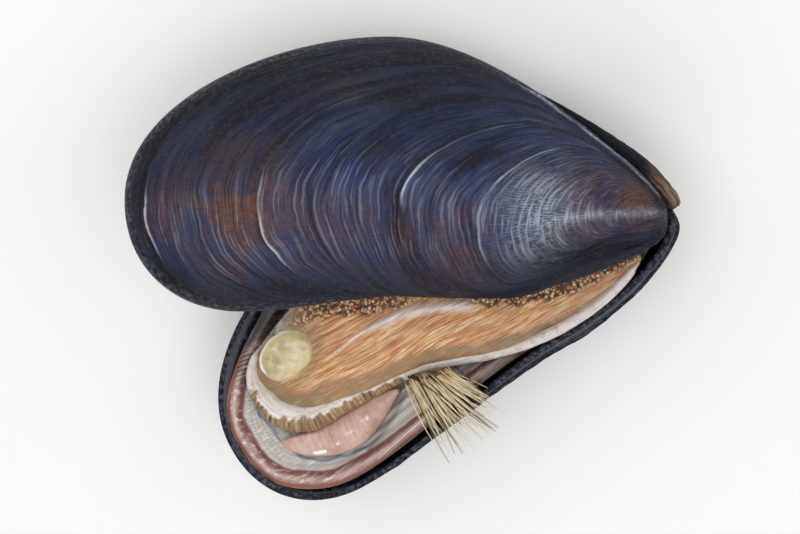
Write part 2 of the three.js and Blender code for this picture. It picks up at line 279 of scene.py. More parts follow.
def disc_pair(top: Array, bottom: Array, centres: Array, facts: dict[str, Array]) -> Surface:
    """A closed cushion from two stacks of closed rounds, each about a centre point.

    Args:
        top, bottom: Rounds from the inside out, as rounds x points x 3.
        centres: The top and the bottom centre.
        facts: Attributes of the top sheet; the underside repeats its outermost value.

    Returns:
        The closed surface.
    """
    rounds, around = top.shape[:2]
    ahead = np.roll(np.arange(around), -1)
    quads, tris = [], []
    for sheet, facing in ((0, 1), (1, -1)):
        index = 2 + sheet * rounds * around + np.arange(rounds * around).reshape(rounds, around)
        four = np.stack([index[:-1], index[1:], index[1:, ahead], index[:-1, ahead]], axis=-1).reshape(-1, 4)
        three = np.stack([np.full(around, sheet), index[0], index[0, ahead]], axis=1)
        quads.append(four[:, ::facing])
        tris.append(three[:, ::facing])
    outer = 2 + (rounds - 1) * around + np.arange(around)
    quads.append(join_edges(outer + rounds * around, outer)[:, ::-1])
    named = {}
    for name, values in facts.items():
        below = np.broadcast_to(values[-1], values.shape)
        named[name] = np.concatenate(([values[0].mean(), values[-1].mean()], values.ravel(), below.ravel()))
    points = np.vstack([centres, top.reshape(-1, 3), bottom.reshape(-1, 3)])
    return Surface(points, np.vstack(quads), np.vstack(tris), named)


def swept(path: Array, width: Array, height: Array, sides: int, shape: Array | None = None) -> Surface:
    """A profile carried along a path: an ellipse, level in width, scaled by a factor at each point.

    Args:
        path: Centres, one row each.
        width, height: Half sizes of the ellipse at each centre.
        sides: Points around the profile.
        shape: Factors, one row for each centre and one column for each side.

    Returns:
        The closed surface, with the attributes along (0 to 1) and turn (0 to 1 about the profile).
    """
    ahead = np.gradient(path, axis=0)
    ahead /= np.linalg.norm(ahead, axis=1, keepdims=True)
    across = np.stack([-ahead[:, 1], ahead[:, 0], np.zeros(len(path))], axis=1)
    across /= np.linalg.norm(across, axis=1, keepdims=True)
    up = np.cross(ahead, across)
    angle = np.linspace(0, 2 * math.pi, sides, endpoint=False)
    factor = np.ones((len(path), sides)) if shape is None else shape
    level = (width[:, None] * np.cos(angle) * factor)[..., None] * across[:, None]
    upright = (height[:, None] * np.sin(angle) * factor)[..., None] * up[:, None]
    rings = path[:, None] + level + upright
    index = 2 + np.arange(len(path) * sides).reshape(len(path), sides)
    beside = np.roll(np.arange(sides), -1)
    quads = np.stack([index[:-1], index[:-1, beside], index[1:, beside], index[1:]], axis=-1).reshape(-1, 4)
    first = np.stack([np.zeros(sides, int), index[0, beside], index[0]], axis=1)
    last = np.stack([np.ones(sides, int), index[-1], index[-1, beside]], axis=1)
    share = np.broadcast_to(np.linspace(0, 1, len(path))[:, None], factor.shape)
    turn = np.broadcast_to(angle / (2 * math.pi), factor.shape)
    facts = {"along": np.concatenate(([0, 1], share.ravel())), "turn": np.concatenate(([0, 0], turn.ravel()))}
    points = np.vstack([path[:1], path[-1:], rings.reshape(-1, 3)])
    return Surface(points, quads, np.vstack([first, last]), facts)


def joined(surfaces: list[Surface]) -> Surface:
    """Several surfaces as one, with the attributes that all of them carry."""
    starts = np.cumsum([0] + [len(one.points) for one in surfaces[:-1]])
    shared = set.intersection(*(set(one.facts) for one in surfaces))
    return Surface(
        np.vstack([one.points for one in surfaces]),
        np.vstack([one.quads + start for one, start in zip(surfaces, starts)]),
        np.vstack([one.tris + start for one, start in zip(surfaces, starts)]),
        {name: np.concatenate([one.facts[name] for one in surfaces]) for name in sorted(shared)},
    )


# The shell's form


def about(degrees: float, axis: str) -> Array:
    """The 3 x 3 rotation about one axis."""
    return np.array(Matrix.Rotation(math.radians(degrees), 3, axis))


REST_ROLL = about(-5.0, "Y") @ about(-12.0, "X")
ROW_SHIFT = np.array((33.75, 8.933, 16.747))


@dataclass(frozen=True)
class Lie:
    """How a valve lies in the pair: degrees about Z, then Y, then X, its beak's place and its size."""

    turn: float = 0.0
    lean: float = 0.0
    roll: float = 0.0
    beak: tuple[float, float, float] = (0.0, 0.0, 0.0)
    size: float = 1.0

    def in_pair(self, points: Array) -> Array:
        """Millimetres in the valve's frame to millimetres from the upper beak, before the pair is rolled."""
        rotation = about(self.turn, "Z") @ about(self.lean, "Y") @ about(self.roll, "X")
        return self.size * points @ rotation.T + np.array(self.beak)

    def to_row(self, points: Array) -> Array:
        """Millimetres in the valve's frame to metres in the row frame, kept on or above the floor."""
        rows = self.in_pair(points) @ REST_ROLL.T + ROW_SHIFT
        rows[:, 2] = np.maximum(rows[:, 2], 0.0)
        return rows * MM


UPPER_LIE = Lie(0.3, 6.9, -12.9)
LOWER_LIE = Lie(32.0, -2.7, -16.8, (0.42, 0.79, -1.5), 0.985)
PAIR_LIE = Lie()
DRAWN_LENGTH = 70.0


@dataclass(frozen=True)
class ShellOutline:
    """The plan outline of a valve: six cubic bends from the beak along the hinge side and back.

    Attributes:
        length: From the beak to the far tip, mm.
        bends: For each bend its two handles and its end, written for the drawn length.
    """

    length: float = DRAWN_LENGTH
    bends: tuple[tuple[float, ...], ...] = (
        (0, 3.4, -4.6, 6.8, -9, 10.4),
        (-16.5, 16.4, -26.5, 23.3, -36, 23.3),
        (-50, 23.3, -70, 15.5, -70, 2.2),
        (-70, -6.6, -63.5, -12.2, -55, -12.2),
        (-44, -12.2, -32, -8.05, -20, -8.05),
        (-11, -7.7, 0, -5.2, 0, 0),
    )

    def loop(self, inset: float | Array = 0.0, count: int = 900) -> Array:
        """The outline as evenly spaced points, moved inward along its normal.

        Args:
            inset: How far inward, one number or one for each point; negative is outward.
            count: Number of steps round the loop.

        Returns:
            The points, beak first and last.
        """
        share = np.linspace(0, 1, 200, endpoint=False)[:, None]
        start = np.zeros(2)
        parts = []
        for bend in self.bends:
            first, second, end = np.array(bend, dtype=float).reshape(3, 2) * (self.length / DRAWN_LENGTH)
            rest = 1 - share
            parts.append(
                rest**3 * start + 3 * rest**2 * share * first + 3 * rest * share**2 * second + share**3 * end
            )
            start = end
        points = even_steps(np.vstack([*parts, start[None]]), count)
        ahead = np.gradient(points, axis=0)
        ahead /= np.linalg.norm(ahead, axis=1, keepdims=True)
        inward = np.broadcast_to(inset, (count + 1,))
        moved = points + inward[:, None] * np.stack([-ahead[:, 1], ahead[:, 0]], axis=1)
        moved[[0, -1]] = (-inward[0], 0.0)
        return moved


@dataclass
class Dome:
    """Height over an outline: a hump along the length times a hump between the two margins."""

    loop: Array
    depth: float
    bulge: float

    def __post_init__(self) -> None:
        """Splits the outline at its far tip into the hinge margin and the open margin."""
        tip = int(self.loop[:, 0].argmin())
        self.beak = self.loop[0]
        self.span = float(self.beak[0] - self.loop[tip, 0])
        self.hinge_side = self.loop[: tip + 1]
        self.open_side = self.loop[tip:][::-1]

    @staticmethod
    def hump(share: Array, rise: Array | float, fall: Array | float) -> Array:
        """share to the power rise times the rest to the power fall, with its crest at 1."""
        crest = rise / (rise + fall)
        return share**rise * (1 - share) ** fall / (crest**rise * (1 - crest) ** fall)

    def shares(self, x: Array, y: Array) -> tuple[Array, Array]:
        """How far along the length, and how far from the open margin to the hinge margin."""
        sides = (self.open_side, self.hinge_side)
        low, high = (np.interp(-x, np.maximum.accumulate(-side[:, 0]), side[:, 1]) for side in sides)
        along = np.clip((self.beak[0] - x) / self.span, 0, 1)
        across = np.clip((y - low) / np.maximum(high - low, 1e-6), 0, 1)
        return along, across

    def height(self, x: Array, y: Array) -> Array:
        """The dome's height at each place."""
        along, across = self.shares(x, y)
        lengthwise = self.hump(along, 0.53, 0.8)
        return self.depth * lengthwise * self.hump(across, 0.45 + 0.25 * along, 0.8 - 0.06 * along)

    def rounds(self, growth: Array, around: int) -> tuple[Array, Array, Array]:
        """Copies of the outline scaled about the beak, lifted to the dome, the open flank swollen outward.

        Args:
            growth: The scale of each round.
            around: Points in each round.

        Returns:
            The points, and the plan x and y they stand on, rounds x points.
        """
        corners = even_steps(self.loop, around)[:-1]
        plan = self.beak + growth[:, None, None] * (corners - self.beak)
        x, y = plan[..., 0], plan[..., 1]
        along, across = self.shares(x, y)
        swell = bell(along - 0.34, 0.2) * (across / 0.12) * np.exp(1 - across / 0.12)
        return np.stack([x, y - self.bulge * swell, self.height(x, y)], axis=-1), x, y


@dataclass(frozen=True)
class GrowthRelief:
    """Bands of growth: each rises to a lip, and the next starts a step below it."""

    stops: tuple[float, ...] = (0.23, 0.35, 0.43, 0.49, 0.64, 0.74, 0.86, 0.955)
    ledge: float = 0.28
    fine_count: int = 74
    fine_ledge: float = 0.07
    seed: int = 11

    @staticmethod
    def share_of_band(growth: Array, stops: Array) -> Array:
        """How far each place is through its own band, 0 to 1."""
        starts = np.concatenate(([0.0], stops))
        ends = np.concatenate((stops, [1.06]))
        band = np.searchsorted(stops, growth)
        return (growth - starts[band]) / (ends[band] - starts[band])

    def height(self, growth: Array, around: Array) -> Array:
        """Relief in millimetres: wide bands with high lips, and fine ones that come and go.

        Args:
            growth: How far each place is along the shell's growth.
            around: How far it is round the outline.

        Returns:
            The relief.
        """
        turned = around * 40
        warped = growth + 0.0045 * waves(turned, growth * 6, 6.0, 3)
        warped = warped + 0.002 * waves(turned, growth * 30, 1.6, 4)
        relief = self.ledge * self.share_of_band(warped, np.array(self.stops)) ** 1.7
        fine = np.sort(np.random.default_rng(self.seed).uniform(0.03, 1.0, self.fine_count))
        patchy = np.clip(0.45 + 0.7 * waves(turned, growth * 14, 4.0, 7), 0.0, 1.0)
        warped = growth + 0.0012 * waves(turned, growth * 20, 3.0, 6)
        return relief + self.fine_ledge * patchy * self.share_of_band(warped, fine) ** 2


# Finishes


def linear(code: str) -> tuple[float, float, float, float]:
    """A colour written as six hex digits, as linear values."""
    parts = [int(code[i : i + 2], 16) / 255 for i in (1, 3, 5)]
    return (*(part / 12.92 if part <= 0.04045 else ((part + 0.055) / 1.055) ** 2.4 for part in parts), 1.0)


class Graph:
    """Adds nodes to a material or group and joins them, one short call for each kind of node."""

    def __init__(self, tree: bpy.types.NodeTree) -> None:
        """Keeps the tree."""
        self.tree = tree

    def node(self, kind: str, inputs: dict | None = None, **settings: object) -> bpy.types.Node:
        """One node.

        Args:
            kind: Its type, without the ShaderNode prefix.
            inputs: Values or sockets by input name or number.
            settings: The node's own properties.

        Returns:
            The node.
        """
        made = self.tree.nodes.new("ShaderNode" + kind)
        for name, value in settings.items():
            setattr(made, name, value)
        for name, value in (inputs or {}).items():
            self.put(made.inputs[name], value)
        return made

    def put(self, socket: bpy.types.NodeSocket, value: object) -> None:
        """Joins a socket to an input, or sets the input's own value."""
        if isinstance(value, bpy.types.NodeSocket):
            self.tree.links.new(value, socket)
        else:
            socket.default_value = value

    def fact(self, name: str) -> bpy.types.NodeSocket:
        """A piece's own number, by attribute name."""
        return self.node("Attribute", attribute_name=name, attribute_type="GEOMETRY").outputs["Fac"]

    def place(self) -> bpy.types.NodeSocket:
        """Object coordinates, in metres."""
        return self.node("TexCoord").outputs["Object"]

    def math(
        self, operation: str, first: object, second: object = 0.0, clamp: bool = False
    ) -> bpy.types.NodeSocket:
        """One sum on two values or sockets."""
        return self.node("Math", {0: first, 1: second}, operation=operation, use_clamp=clamp).outputs[0]

    def times(self, *values: object) -> bpy.types.NodeSocket:
        """The product of two or more values or sockets."""
        product = values[0]
        for value in values[1:]:
            product = self.math("MULTIPLY", product, value)
        return product

    def grid(
        self, first: object, first_scale: float, second: object, second_scale: float, layer: float
    ) -> bpy.types.NodeSocket:
        """A place from two numbers, each stretched, on its own layer of a noise."""
        inputs = {"X": self.times(first, first_scale), "Y": self.times(second, second_scale), "Z": layer}
        return self.node("CombineXYZ", inputs).outputs[0]

    def ramp(self, value: object, stops: list[tuple[float, str]]) -> bpy.types.NodeSocket:
        """Colours by a value from 0 to 1, each stop a place and a colour code."""
        made = self.node("ValToRGB", {"Fac": value})
        points = made.color_ramp.elements
        while len(points) < len(stops):
            points.new(1.0)
        for point, (where, code) in zip(points, stops):
            point.position = where
            point.color = linear(code)
        return made.outputs["Color"]

    def span(
        self, value: object, low: float, high: float, to_low: float = 0.0, to_high: float = 1.0
    ) -> bpy.types.NodeSocket:
        """A value from one range, carried smoothly to another."""
        inputs = {"Value": value, "From Min": low, "From Max": high, "To Min": to_low, "To Max": to_high}
        return self.node("MapRange", inputs, interpolation_type="SMOOTHSTEP").outputs["Result"]

    def mix(self, share: object, first: object, second: object) -> bpy.types.NodeSocket:
        """Two colours mixed by a share; the second may be a colour code."""
        made = self.node("Mix", data_type="RGBA")
        last = linear(second) if isinstance(second, str) else second
        for name, value in (("Factor_Float", share), ("A_Color", first), ("B_Color", last)):
            self.put(next(one for one in made.inputs if one.identifier == name), value)
        return next(one for one in made.outputs if one.identifier == "Result_Color")

    def noise(
        self, where: object, scale: float, detail: float = 4.0, rough: float = 0.55, bend: float = 0.0
    ) -> bpy.types.NodeSocket:
        """Cloudy noise of about 0 to 1."""
        inputs = {"Vector": where, "Scale": scale, "Detail": detail, "Roughness": rough, "Distortion": bend}
        return self.node("TexNoise", inputs).outputs["Fac"]

    def wander(
        self, value: object, where: object, scale: float, reach: float, low: float = 0.3, detail: float = 4.0
    ) -> bpy.types.NodeSocket:
        """A value moved up and down by noise, by the reach where the noise is as far from 0.5 as low is."""
        shift = self.span(self.noise(where, scale, detail), low, 1.0 - low, -reach, reach)
        return self.math("ADD", value, shift)


class Effect(Enum):
    """The shared effects, each a node group built once."""

    LINES = "growth_lines"
    MOTTLE = "mottled_patches"
    FIBRES = "flesh_fibres"
    WET = "wet_skin"


def new_group(
    effect: Effect, inputs: dict[str, object], outputs: tuple[str, ...]
) -> tuple[Graph, dict, bpy.types.Node]:
    """An empty node group with named sockets.

    Args:
        effect: Which effect it holds.
        inputs: Input names with their defaults; a tuple makes a vector.
        outputs: Names of the outgoing values.

    Returns:
        The group's graph, its input sockets by name, and its output node.
    """
    tree = bpy.data.node_groups.new(effect.value, "ShaderNodeTree")
    for name, default in inputs.items():
        kind = "NodeSocketVector" if isinstance(default, tuple) else "NodeSocketFloat"
        socket = tree.interface.new_socket(name, in_out="INPUT", socket_type=kind)
        socket.default_value = default
    for name in outputs:
        tree.interface.new_socket(name, in_out="OUTPUT", socket_type="NodeSocketFloat")
    start = tree.nodes.new("NodeGroupInput")
    given = {one.name: one for one in start.outputs if one.name}
    return Graph(tree), given, tree.nodes.new("NodeGroupOutput")


def build_lines() -> None:
    """Growth lines: strokes along the margin's old places, cross hatching, each stop's lip and step."""
    inputs = {"Growth": 0.0, "Around": 0.0, "Place": (0.0, 0.0, 0.0)}
    graph, given, end = new_group(Effect.LINES, inputs, ("Fine", "Broad", "Cross", "Lip", "Step"))
    grown = given["Growth"]
    for scale, reach in ((36.0, 0.009), (110.0, 0.0042), (420.0, 0.0012)):
        grown = graph.wander(grown, given["Place"], scale, reach, 0.25, 2.0)
    kinds = (("Fine", 170.0, 13.0, 3.0), ("Broad", 17.0, 6.0, 4.0), ("Cross", 60.0, 420.0, 1.0))
    for name, per_length, per_round, detail in kinds:
        where = graph.grid(grown, per_length, given["Around"], per_round, per_length)
        graph.put(end.inputs[name], graph.span(graph.noise(where, 1.0, detail), 0.32, 0.68))
    shows = graph.span(graph.noise(graph.grid(grown, 11.0, given["Around"], 6.0, 3.0), 1.0, 3.0), 0.42, 0.58)
    codes = ("#000000", "#ffffff", "#000000")
    for name, edges in (("Lip", (-0.0036, -0.0015, 0.0004)), ("Step", (0.0, 0.003, 0.016))):
        stops = [(stop + edge, code) for stop in GrowthRelief().stops for edge, code in zip(edges, codes)]
        graph.put(end.inputs[name], graph.times(graph.ramp(grown, stops), shows))


def build_effects() -> None:
    """Builds the shared node groups: growth lines, patches, fibres and wet skin."""
    build_lines()
    inputs = {"Place": (0.0, 0.0, 0.0), "Scale": 100.0, "Amount": 0.5}
    graph, given, end = new_group(Effect.MOTTLE, inputs, ("Mask",))
    cloud = graph.noise(given["Place"], 1.0, 6.0, 0.62)
    graph.put(cloud.node.inputs["Scale"], given["Scale"])
    edge = graph.math("SUBTRACT", 0.85, graph.times(given["Amount"], 0.7))
    over = graph.math("SUBTRACT", cloud, edge)
    graph.put(end.inputs["Mask"], graph.math("MULTIPLY", over, 7.0, clamp=True))

    inputs = {"Along": 0.0, "Across": 0.0, "Length": 0.12, "Width": 1.3}
    graph, given, end = new_group(Effect.FIBRES, inputs, ("Fine", "Broad"))
    for name, size, layer in (("Fine", 1.0, 0.0), ("Broad", 0.36, 7.0)):
        parts = {
            "X": graph.times(given["Along"], given["Length"], size),
            "Y": graph.times(given["Across"], given["Width"], size),
        }
        where = graph.node("CombineXYZ", {**parts, "Z": layer}).outputs[0]
        graph.put(end.inputs[name], graph.span(graph.noise(where, 1.0, 4.0, 0.6, 0.5), 0.32, 0.68))

    inputs = {"Place": (0.0, 0.0, 0.0), "Scale": 700.0, "Dry": 0.4}
    graph, given, end = new_group(Effect.WET, inputs, ("Roughness", "Height"))
    film = graph.noise(given["Place"], 1.0, 3.0)
    graph.put(film.node.inputs["Scale"], given["Scale"])
    graph.put(end.inputs["Height"], film)
    graph.put(end.inputs["Roughness"], graph.times(graph.span(film, 0.3, 0.7, 0.6, 1.3), given["Dry"]))


def use(graph: Graph, effect: Effect, inputs: dict[str, object]) -> dict[str, bpy.types.NodeSocket]:
    """Puts a shared effect into a material.

    Args:
        graph: The material's graph.
        effect: Which effect.
        inputs: Values or sockets by input name.

    Returns:
        The effect's outputs by name.
    """
    made = graph.node("Group", node_tree=bpy.data.node_groups[effect.value])
    for name, value in inputs.items():
        graph.put(made.inputs[name], value)
    return {one.name: one for one in made.outputs}


def spots(graph: Graph, scale: float, amount: float) -> bpy.types.NodeSocket:
    """The mask of mottled patches over a piece."""
    return use(graph, Effect.MOTTLE, {"Place": graph.place(), "Scale": scale, "Amount": amount})["Mask"]


def fibres(
    graph: Graph, along: str, across: str, length: float, width: float
) -> dict[str, bpy.types.NodeSocket]:
    """Fibres that run along one of a piece's attributes, side by side across another.

    Args:
        graph: The material's graph.
        along, across: Names of the two attributes.
        length, width: Fibres for each unit of the two attributes.

    Returns:
        The effect's outputs by name.
    """
    given = {"Along": graph.fact(along), "Across": graph.fact(across), "Length": length, "Width": width}
    return use(graph, Effect.FIBRES, given)


def new_material(name: str, shader: dict[str, object]) -> tuple[bpy.types.Material, Graph, bpy.types.Node]:
    """A material with one Principled shader.

    Args:
        name: The material's name.
        shader: Constant values by input name.

    Returns:
        The material, its graph and its shader node.
    """
    material = bpy.data.materials.new(name)
    material.use_nodes = True
    principled = material.node_tree.nodes["Principled BSDF"]
    for socket, value in shader.items():
        principled.inputs[socket].default_value = value
    return material, Graph(material.node_tree), principled


def dress(
    graph: Graph, shader: bpy.types.Node, colour: object, roughness: object, height: object, depth_mm: float
) -> None:
    """Joins colour, roughness and a bump of the given depth to a shader."""
    graph.put(shader.inputs["Base Color"], colour)
    graph.put(shader.inputs["Roughness"], roughness)
    bump = graph.node("Bump", {"Height": height, "Distance": depth_mm * MM, "Strength": 1.0})
    graph.put(shader.inputs["Normal"], bump.outputs["Normal"])


@dataclass(frozen=True)
class ShellOutside:
    """Blue-black horn skin: denim bands, dark and pale growth strokes, rust patches, a near-black border,
    painted shade towards the margins and painted highlights on the ridge.
    """

    night: str = "#080a11"
    navy: str = "#09142c"
    denim: str = "#1f345f"
    slate: str = "#384663"
    rust: str = "#73482e"
    umber: str = "#463a37"
    pale: str = "#b6c1d0"
    lip: str = "#d3dae2"
    speck: str = "#5a5d6b"

    def build(self, name: str) -> bpy.types.Material:
        """Makes the finish.

        Args:
            name: The material's name.

        Returns:
            The material.
        """
        constants = {"IOR": 1.25, "Coat Weight": 0.04, "Coat Roughness": 0.22}
        material, graph, shader = new_material(name, constants)
        given = {"Growth": graph.fact("growth"), "Around": graph.fact("around"), "Place": graph.place()}
        lines = use(graph, Effect.LINES, given)
        # The dark mask holds painted shade towards the margins and flanks, with the shell's own dark border;
        # lit is where that painted shade is absent, less near the beak, and pale strokes and lips show only
        # there.
        dark = graph.fact("dark")
        lit = graph.times(graph.span(dark, 0.75, 0.1), graph.span(given["Growth"], 0.04, 0.22, 0.25, 1.0))
        bands = [(0.0, self.navy), (0.4, self.denim), (0.75, self.slate), (1.0, self.denim)]
        body = graph.ramp(lines["Broad"], bands)
        rusty = graph.times(graph.fact("rust"), graph.span(spots(graph, 190.0, 0.66), 0.0, 1.0, 0.35, 1.0))
        body = graph.mix(graph.times(rusty, 0.65), body, self.umber)
        grain = graph.span(spots(graph, 1500.0, 0.56), 0.0, 1.0, 0.3, 0.95)
        body = graph.mix(graph.times(rusty, grain), body, self.rust)
        body = graph.mix(graph.times(spots(graph, 1900.0, 0.5), 0.36), body, self.umber)
        body = graph.mix(graph.times(graph.span(lines["Fine"], 0.4, 0.02), 0.5), body, self.night)
        body = graph.mix(graph.times(graph.span(lines["Fine"], 0.72, 1.0), lit, 0.17), body, self.pale)
        body = graph.mix(graph.times(graph.span(lines["Cross"], 0.4, 0.0), 0.16), body, self.night)
        body = graph.mix(graph.times(lines["Step"], 0.85), body, self.night)
        body = graph.mix(graph.times(lines["Lip"], lit, 0.95), body, self.lip)
        # Painted shade: darker towards night where the dark mask is, with umber flecks.
        body = graph.mix(graph.times(dark, graph.span(lines["Broad"], 0.0, 1.0, 0.97, 0.8)), body, self.night)
        body = graph.mix(graph.times(dark, spots(graph, 1500.0, 0.47), 0.55), body, self.umber)
        weave = graph.span(graph.math("MAXIMUM", lines["Fine"], lines["Cross"]), 0.4, 1.0, 0.2, 1.0)
        # Painted highlights: the highlight mask turns pale through the cross-hatch.
        body = graph.mix(graph.times(graph.fact("worn"), weave), body, self.pale)
        border = graph.times(spots(graph, 1700.0, 0.53), graph.span(graph.fact("rim"), 1.7, 0.2), 0.7)
        body = graph.mix(border, body, self.speck)
        ledges = graph.math("SUBTRACT", lines["Lip"], lines["Step"])
        height = graph.math("ADD", graph.math("ADD", lines["Fine"], ledges), graph.times(lines["Cross"], 0.3))
        dress(graph, shader, body, graph.span(lines["Fine"], 0.0, 1.0, 0.6, 0.42), height, 0.05)
        return material


@dataclass(frozen=True)
class ShellInside:
    """Pearly lining: dark speckled border, violet-blue band, bluish white within."""

    border: str = "#12151f"
    violet: str = "#333b58"
    pearl: str = "#a2abba"
    cream: str = "#c6c4c0"
    speck: str = "#6d7180"

    def build(self, name: str) -> bpy.types.Material:
        """Makes the finish.

        Args:
            name: The material's name.

        Returns:
            The material.
        """
        material, graph, shader = new_material(name, {"Coat Weight": 0.12, "Coat Roughness": 0.2})
        where = graph.place()
        depth = graph.wander(graph.fact("rim"), where, 160.0, 1.6, 0.2)
        share = graph.math("DIVIDE", depth, 16.0, clamp=True)
        edge = [(0.0, self.border), (0.2, self.border), (0.32, self.violet)]
        body = graph.ramp(share, [*edge, (0.55, self.pearl), (1.0, self.cream)])
        specks = graph.times(spots(graph, 1400.0, 0.45), graph.span(share, 0.35, 0.1, 0.0, 0.45))
        body = graph.mix(specks, body, self.speck)
        given = {"Growth": graph.fact("growth"), "Around": graph.fact("around"), "Place": where}
        lines = use(graph, Effect.LINES, given)
        body = graph.mix(graph.times(lines["Fine"], 0.16), body, self.violet)
        film = use(graph, Effect.WET, {"Place": where, "Scale": 260.0, "Dry": 0.28})
        dress(graph, shader, body, film["Roughness"], lines["Broad"], 0.04)
        return material


@dataclass(frozen=True)
class LigamentHorn:
    """Blue-black horn with lengthwise strands, brown from wear at the beaks."""

    black: str = "#0b0c12"
    navy: str = "#1d2230"
    brown: str = "#5f4332"
    tan: str = "#9a8370"

    def build(self, name: str) -> bpy.types.Material:
        """Makes the finish.

        Args:
            name: The material's name.

        Returns:
            The material.
        """
        material, graph, shader = new_material(name, {"IOR": 1.35})
        strand = fibres(graph, "along", "turn", 24.0, 34.0)
        body = graph.ramp(strand["Fine"], [(0.0, self.black), (0.55, self.black), (1.0, self.navy)])
        apart = graph.math("ABSOLUTE", graph.math("SUBTRACT", graph.fact("along"), 0.56))
        frayed = graph.math("MAXIMUM", spots(graph, 420.0, 0.66), strand["Fine"])
        # Brown from wear where the band rounds the beaks.
        worn = graph.times(graph.span(apart, 0.13, 0.03), frayed, 0.9)
        body = graph.mix(worn, body, graph.ramp(strand["Broad"], [(0.2, self.brown), (0.8, self.tan)]))
        dress(graph, shader, body, graph.span(strand["Broad"], 0.0, 1.0, 0.45, 0.7), strand["Fine"], 0.1)
        return material


FLESH_SHADER = {
    "Subsurface Weight": 0.08,
    "Subsurface Radius": (1.0, 0.45, 0.3),
    "Subsurface Scale": 0.0008,
    "Coat Weight": 0.4,
    "Coat Roughness": 0.13,
}


@dataclass(frozen=True)
class MantleFlesh:
    """Orange lobe: streaked along its length, a dotted dark band, a painted highlight along its crease, olive
    near its edge.
    """

    deep: str = "#b87d48"
    orange: str = "#e0a468"
    light: str = "#f2ca93"
    cream: str = "#f6dbaf"
    red: str = "#c2572b"
    olive: str = "#96815c"
    dusk: str = "#2a1d16"
    fold: str = "#f0e6e2"
    grey: str = "#a19c92"
    dark_grey: str = "#55504b"
    pale_grey: str = "#c3bfb6"

    def build(self, name: str) -> bpy.types.Material:
        """Makes the finish.

        Args:
            name: The material's name.

        Returns:
            The material.
        """
        material, graph, shader = new_material(name, FLESH_SHADER)
        where = graph.place()
        fibre = fibres(graph, "plan_x", "plan_y", 0.3, 4.6)
        body = graph.ramp(fibre["Broad"], [(0.0, self.deep), (0.4, self.orange), (1.0, self.light)])
        body = graph.mix(graph.times(graph.span(fibre["Fine"], 0.38, 0.08), 0.75), body, self.red)
        body = graph.mix(graph.times(graph.span(fibre["Fine"], 0.64, 0.95), 0.8), body, self.cream)
        uneven = graph.span(graph.noise(where, 300.0), 0.3, 0.7, 0.65, 1.15)
        edge = graph.math("MULTIPLY", graph.fact("edge"), uneven, clamp=True)
        body = graph.mix(edge, body, self.olive)
        flecks = graph.times(spots(graph, 2000.0, 0.47), graph.span(edge, 0.1, 0.7, 0.1, 0.6))
        body = graph.mix(flecks, body, self.red)
        greys = [(0.35, self.dark_grey), (0.5, self.grey), (0.7, self.pale_grey)]
        body = graph.mix(graph.fact("grey"), body, graph.ramp(graph.noise(where, 900.0, 3.0), greys))
        cells = graph.node("TexVoronoi", {"Vector": where, "Scale": 2300.0})
        dot = graph.span(cells.outputs["Distance"], 0.66, 0.36)
        tint = graph.ramp(cells.outputs["Color"], [(0.2, self.red), (0.5, self.orange), (0.75, self.cream)])
        body = graph.mix(graph.fact("dots"), body, graph.mix(dot, linear(self.dusk), tint))
        # Painted highlight: a pale sheen along the crest of the crease.
        sheen = graph.times(graph.fact("fold"), graph.span(fibre["Fine"], 0.1, 0.5, 0.55, 1.0))
        body = graph.mix(sheen, body, self.fold)
        film = use(graph, Effect.WET, {"Place": where, "Scale": 600.0, "Dry": 0.5})
        height = graph.math("ADD", fibre["Fine"], graph.times(dot, graph.fact("dots")))
        dress(graph, shader, body, film["Roughness"], height, 0.1)
        return material


@dataclass(frozen=True)
class RolledEdge:
    """The cream rolled edge of the lobe, lined along its length, brown and pleated where it turns under."""

    cream: str = "#d6c8be"
    white: str = "#f1eae5"
    pink: str = "#c48d74"
    brown: str = "#8a6b44"
    umber: str = "#38281a"
    tan: str = "#a58a62"
    sand: str = "#cbb795"
    rust: str = "#a8602f"

    def build(self, name: str) -> bpy.types.Material:
        """Makes the finish.

        Args:
            name: The material's name.

        Returns:
            The material.
        """
        material, graph, shader = new_material(name, FLESH_SHADER)
        where = graph.place()
        line = fibres(graph, "along", "turn", 14.0, 46.0)
        body = graph.ramp(line["Fine"], [(0.0, self.cream), (0.7, self.white)])
        body = graph.mix(graph.times(spots(graph, 1100.0, 0.46), 0.55), body, self.pink)
        along, turn = graph.fact("along"), graph.fact("turn")
        stroke = graph.noise(graph.grid(along, 210.0, turn, 2.0, 3.0), 1.0, 3.0, 0.6)
        browns = [(0.34, self.umber), (0.46, self.brown), (0.58, self.tan), (0.7, self.sand)]
        rusty = graph.times(spots(graph, 1500.0, 0.47), 0.6)
        pleat = graph.mix(rusty, graph.ramp(stroke, browns), self.rust)
        brush = graph.noise(graph.grid(along, 90.0, turn, 1.0, 9.0), 1.0, 2.0, 0.5)
        hung = graph.math("ADD", graph.fact("under"), graph.span(brush, 0.35, 0.65, -0.2, 0.2))
        body = graph.mix(graph.span(hung, 0.3, 0.8), body, pleat)
        film = use(graph, Effect.WET, {"Place": where, "Scale": 500.0, "Dry": 0.42})
        dress(graph, shader, body, film["Roughness"], line["Fine"], 0.06)
        return material


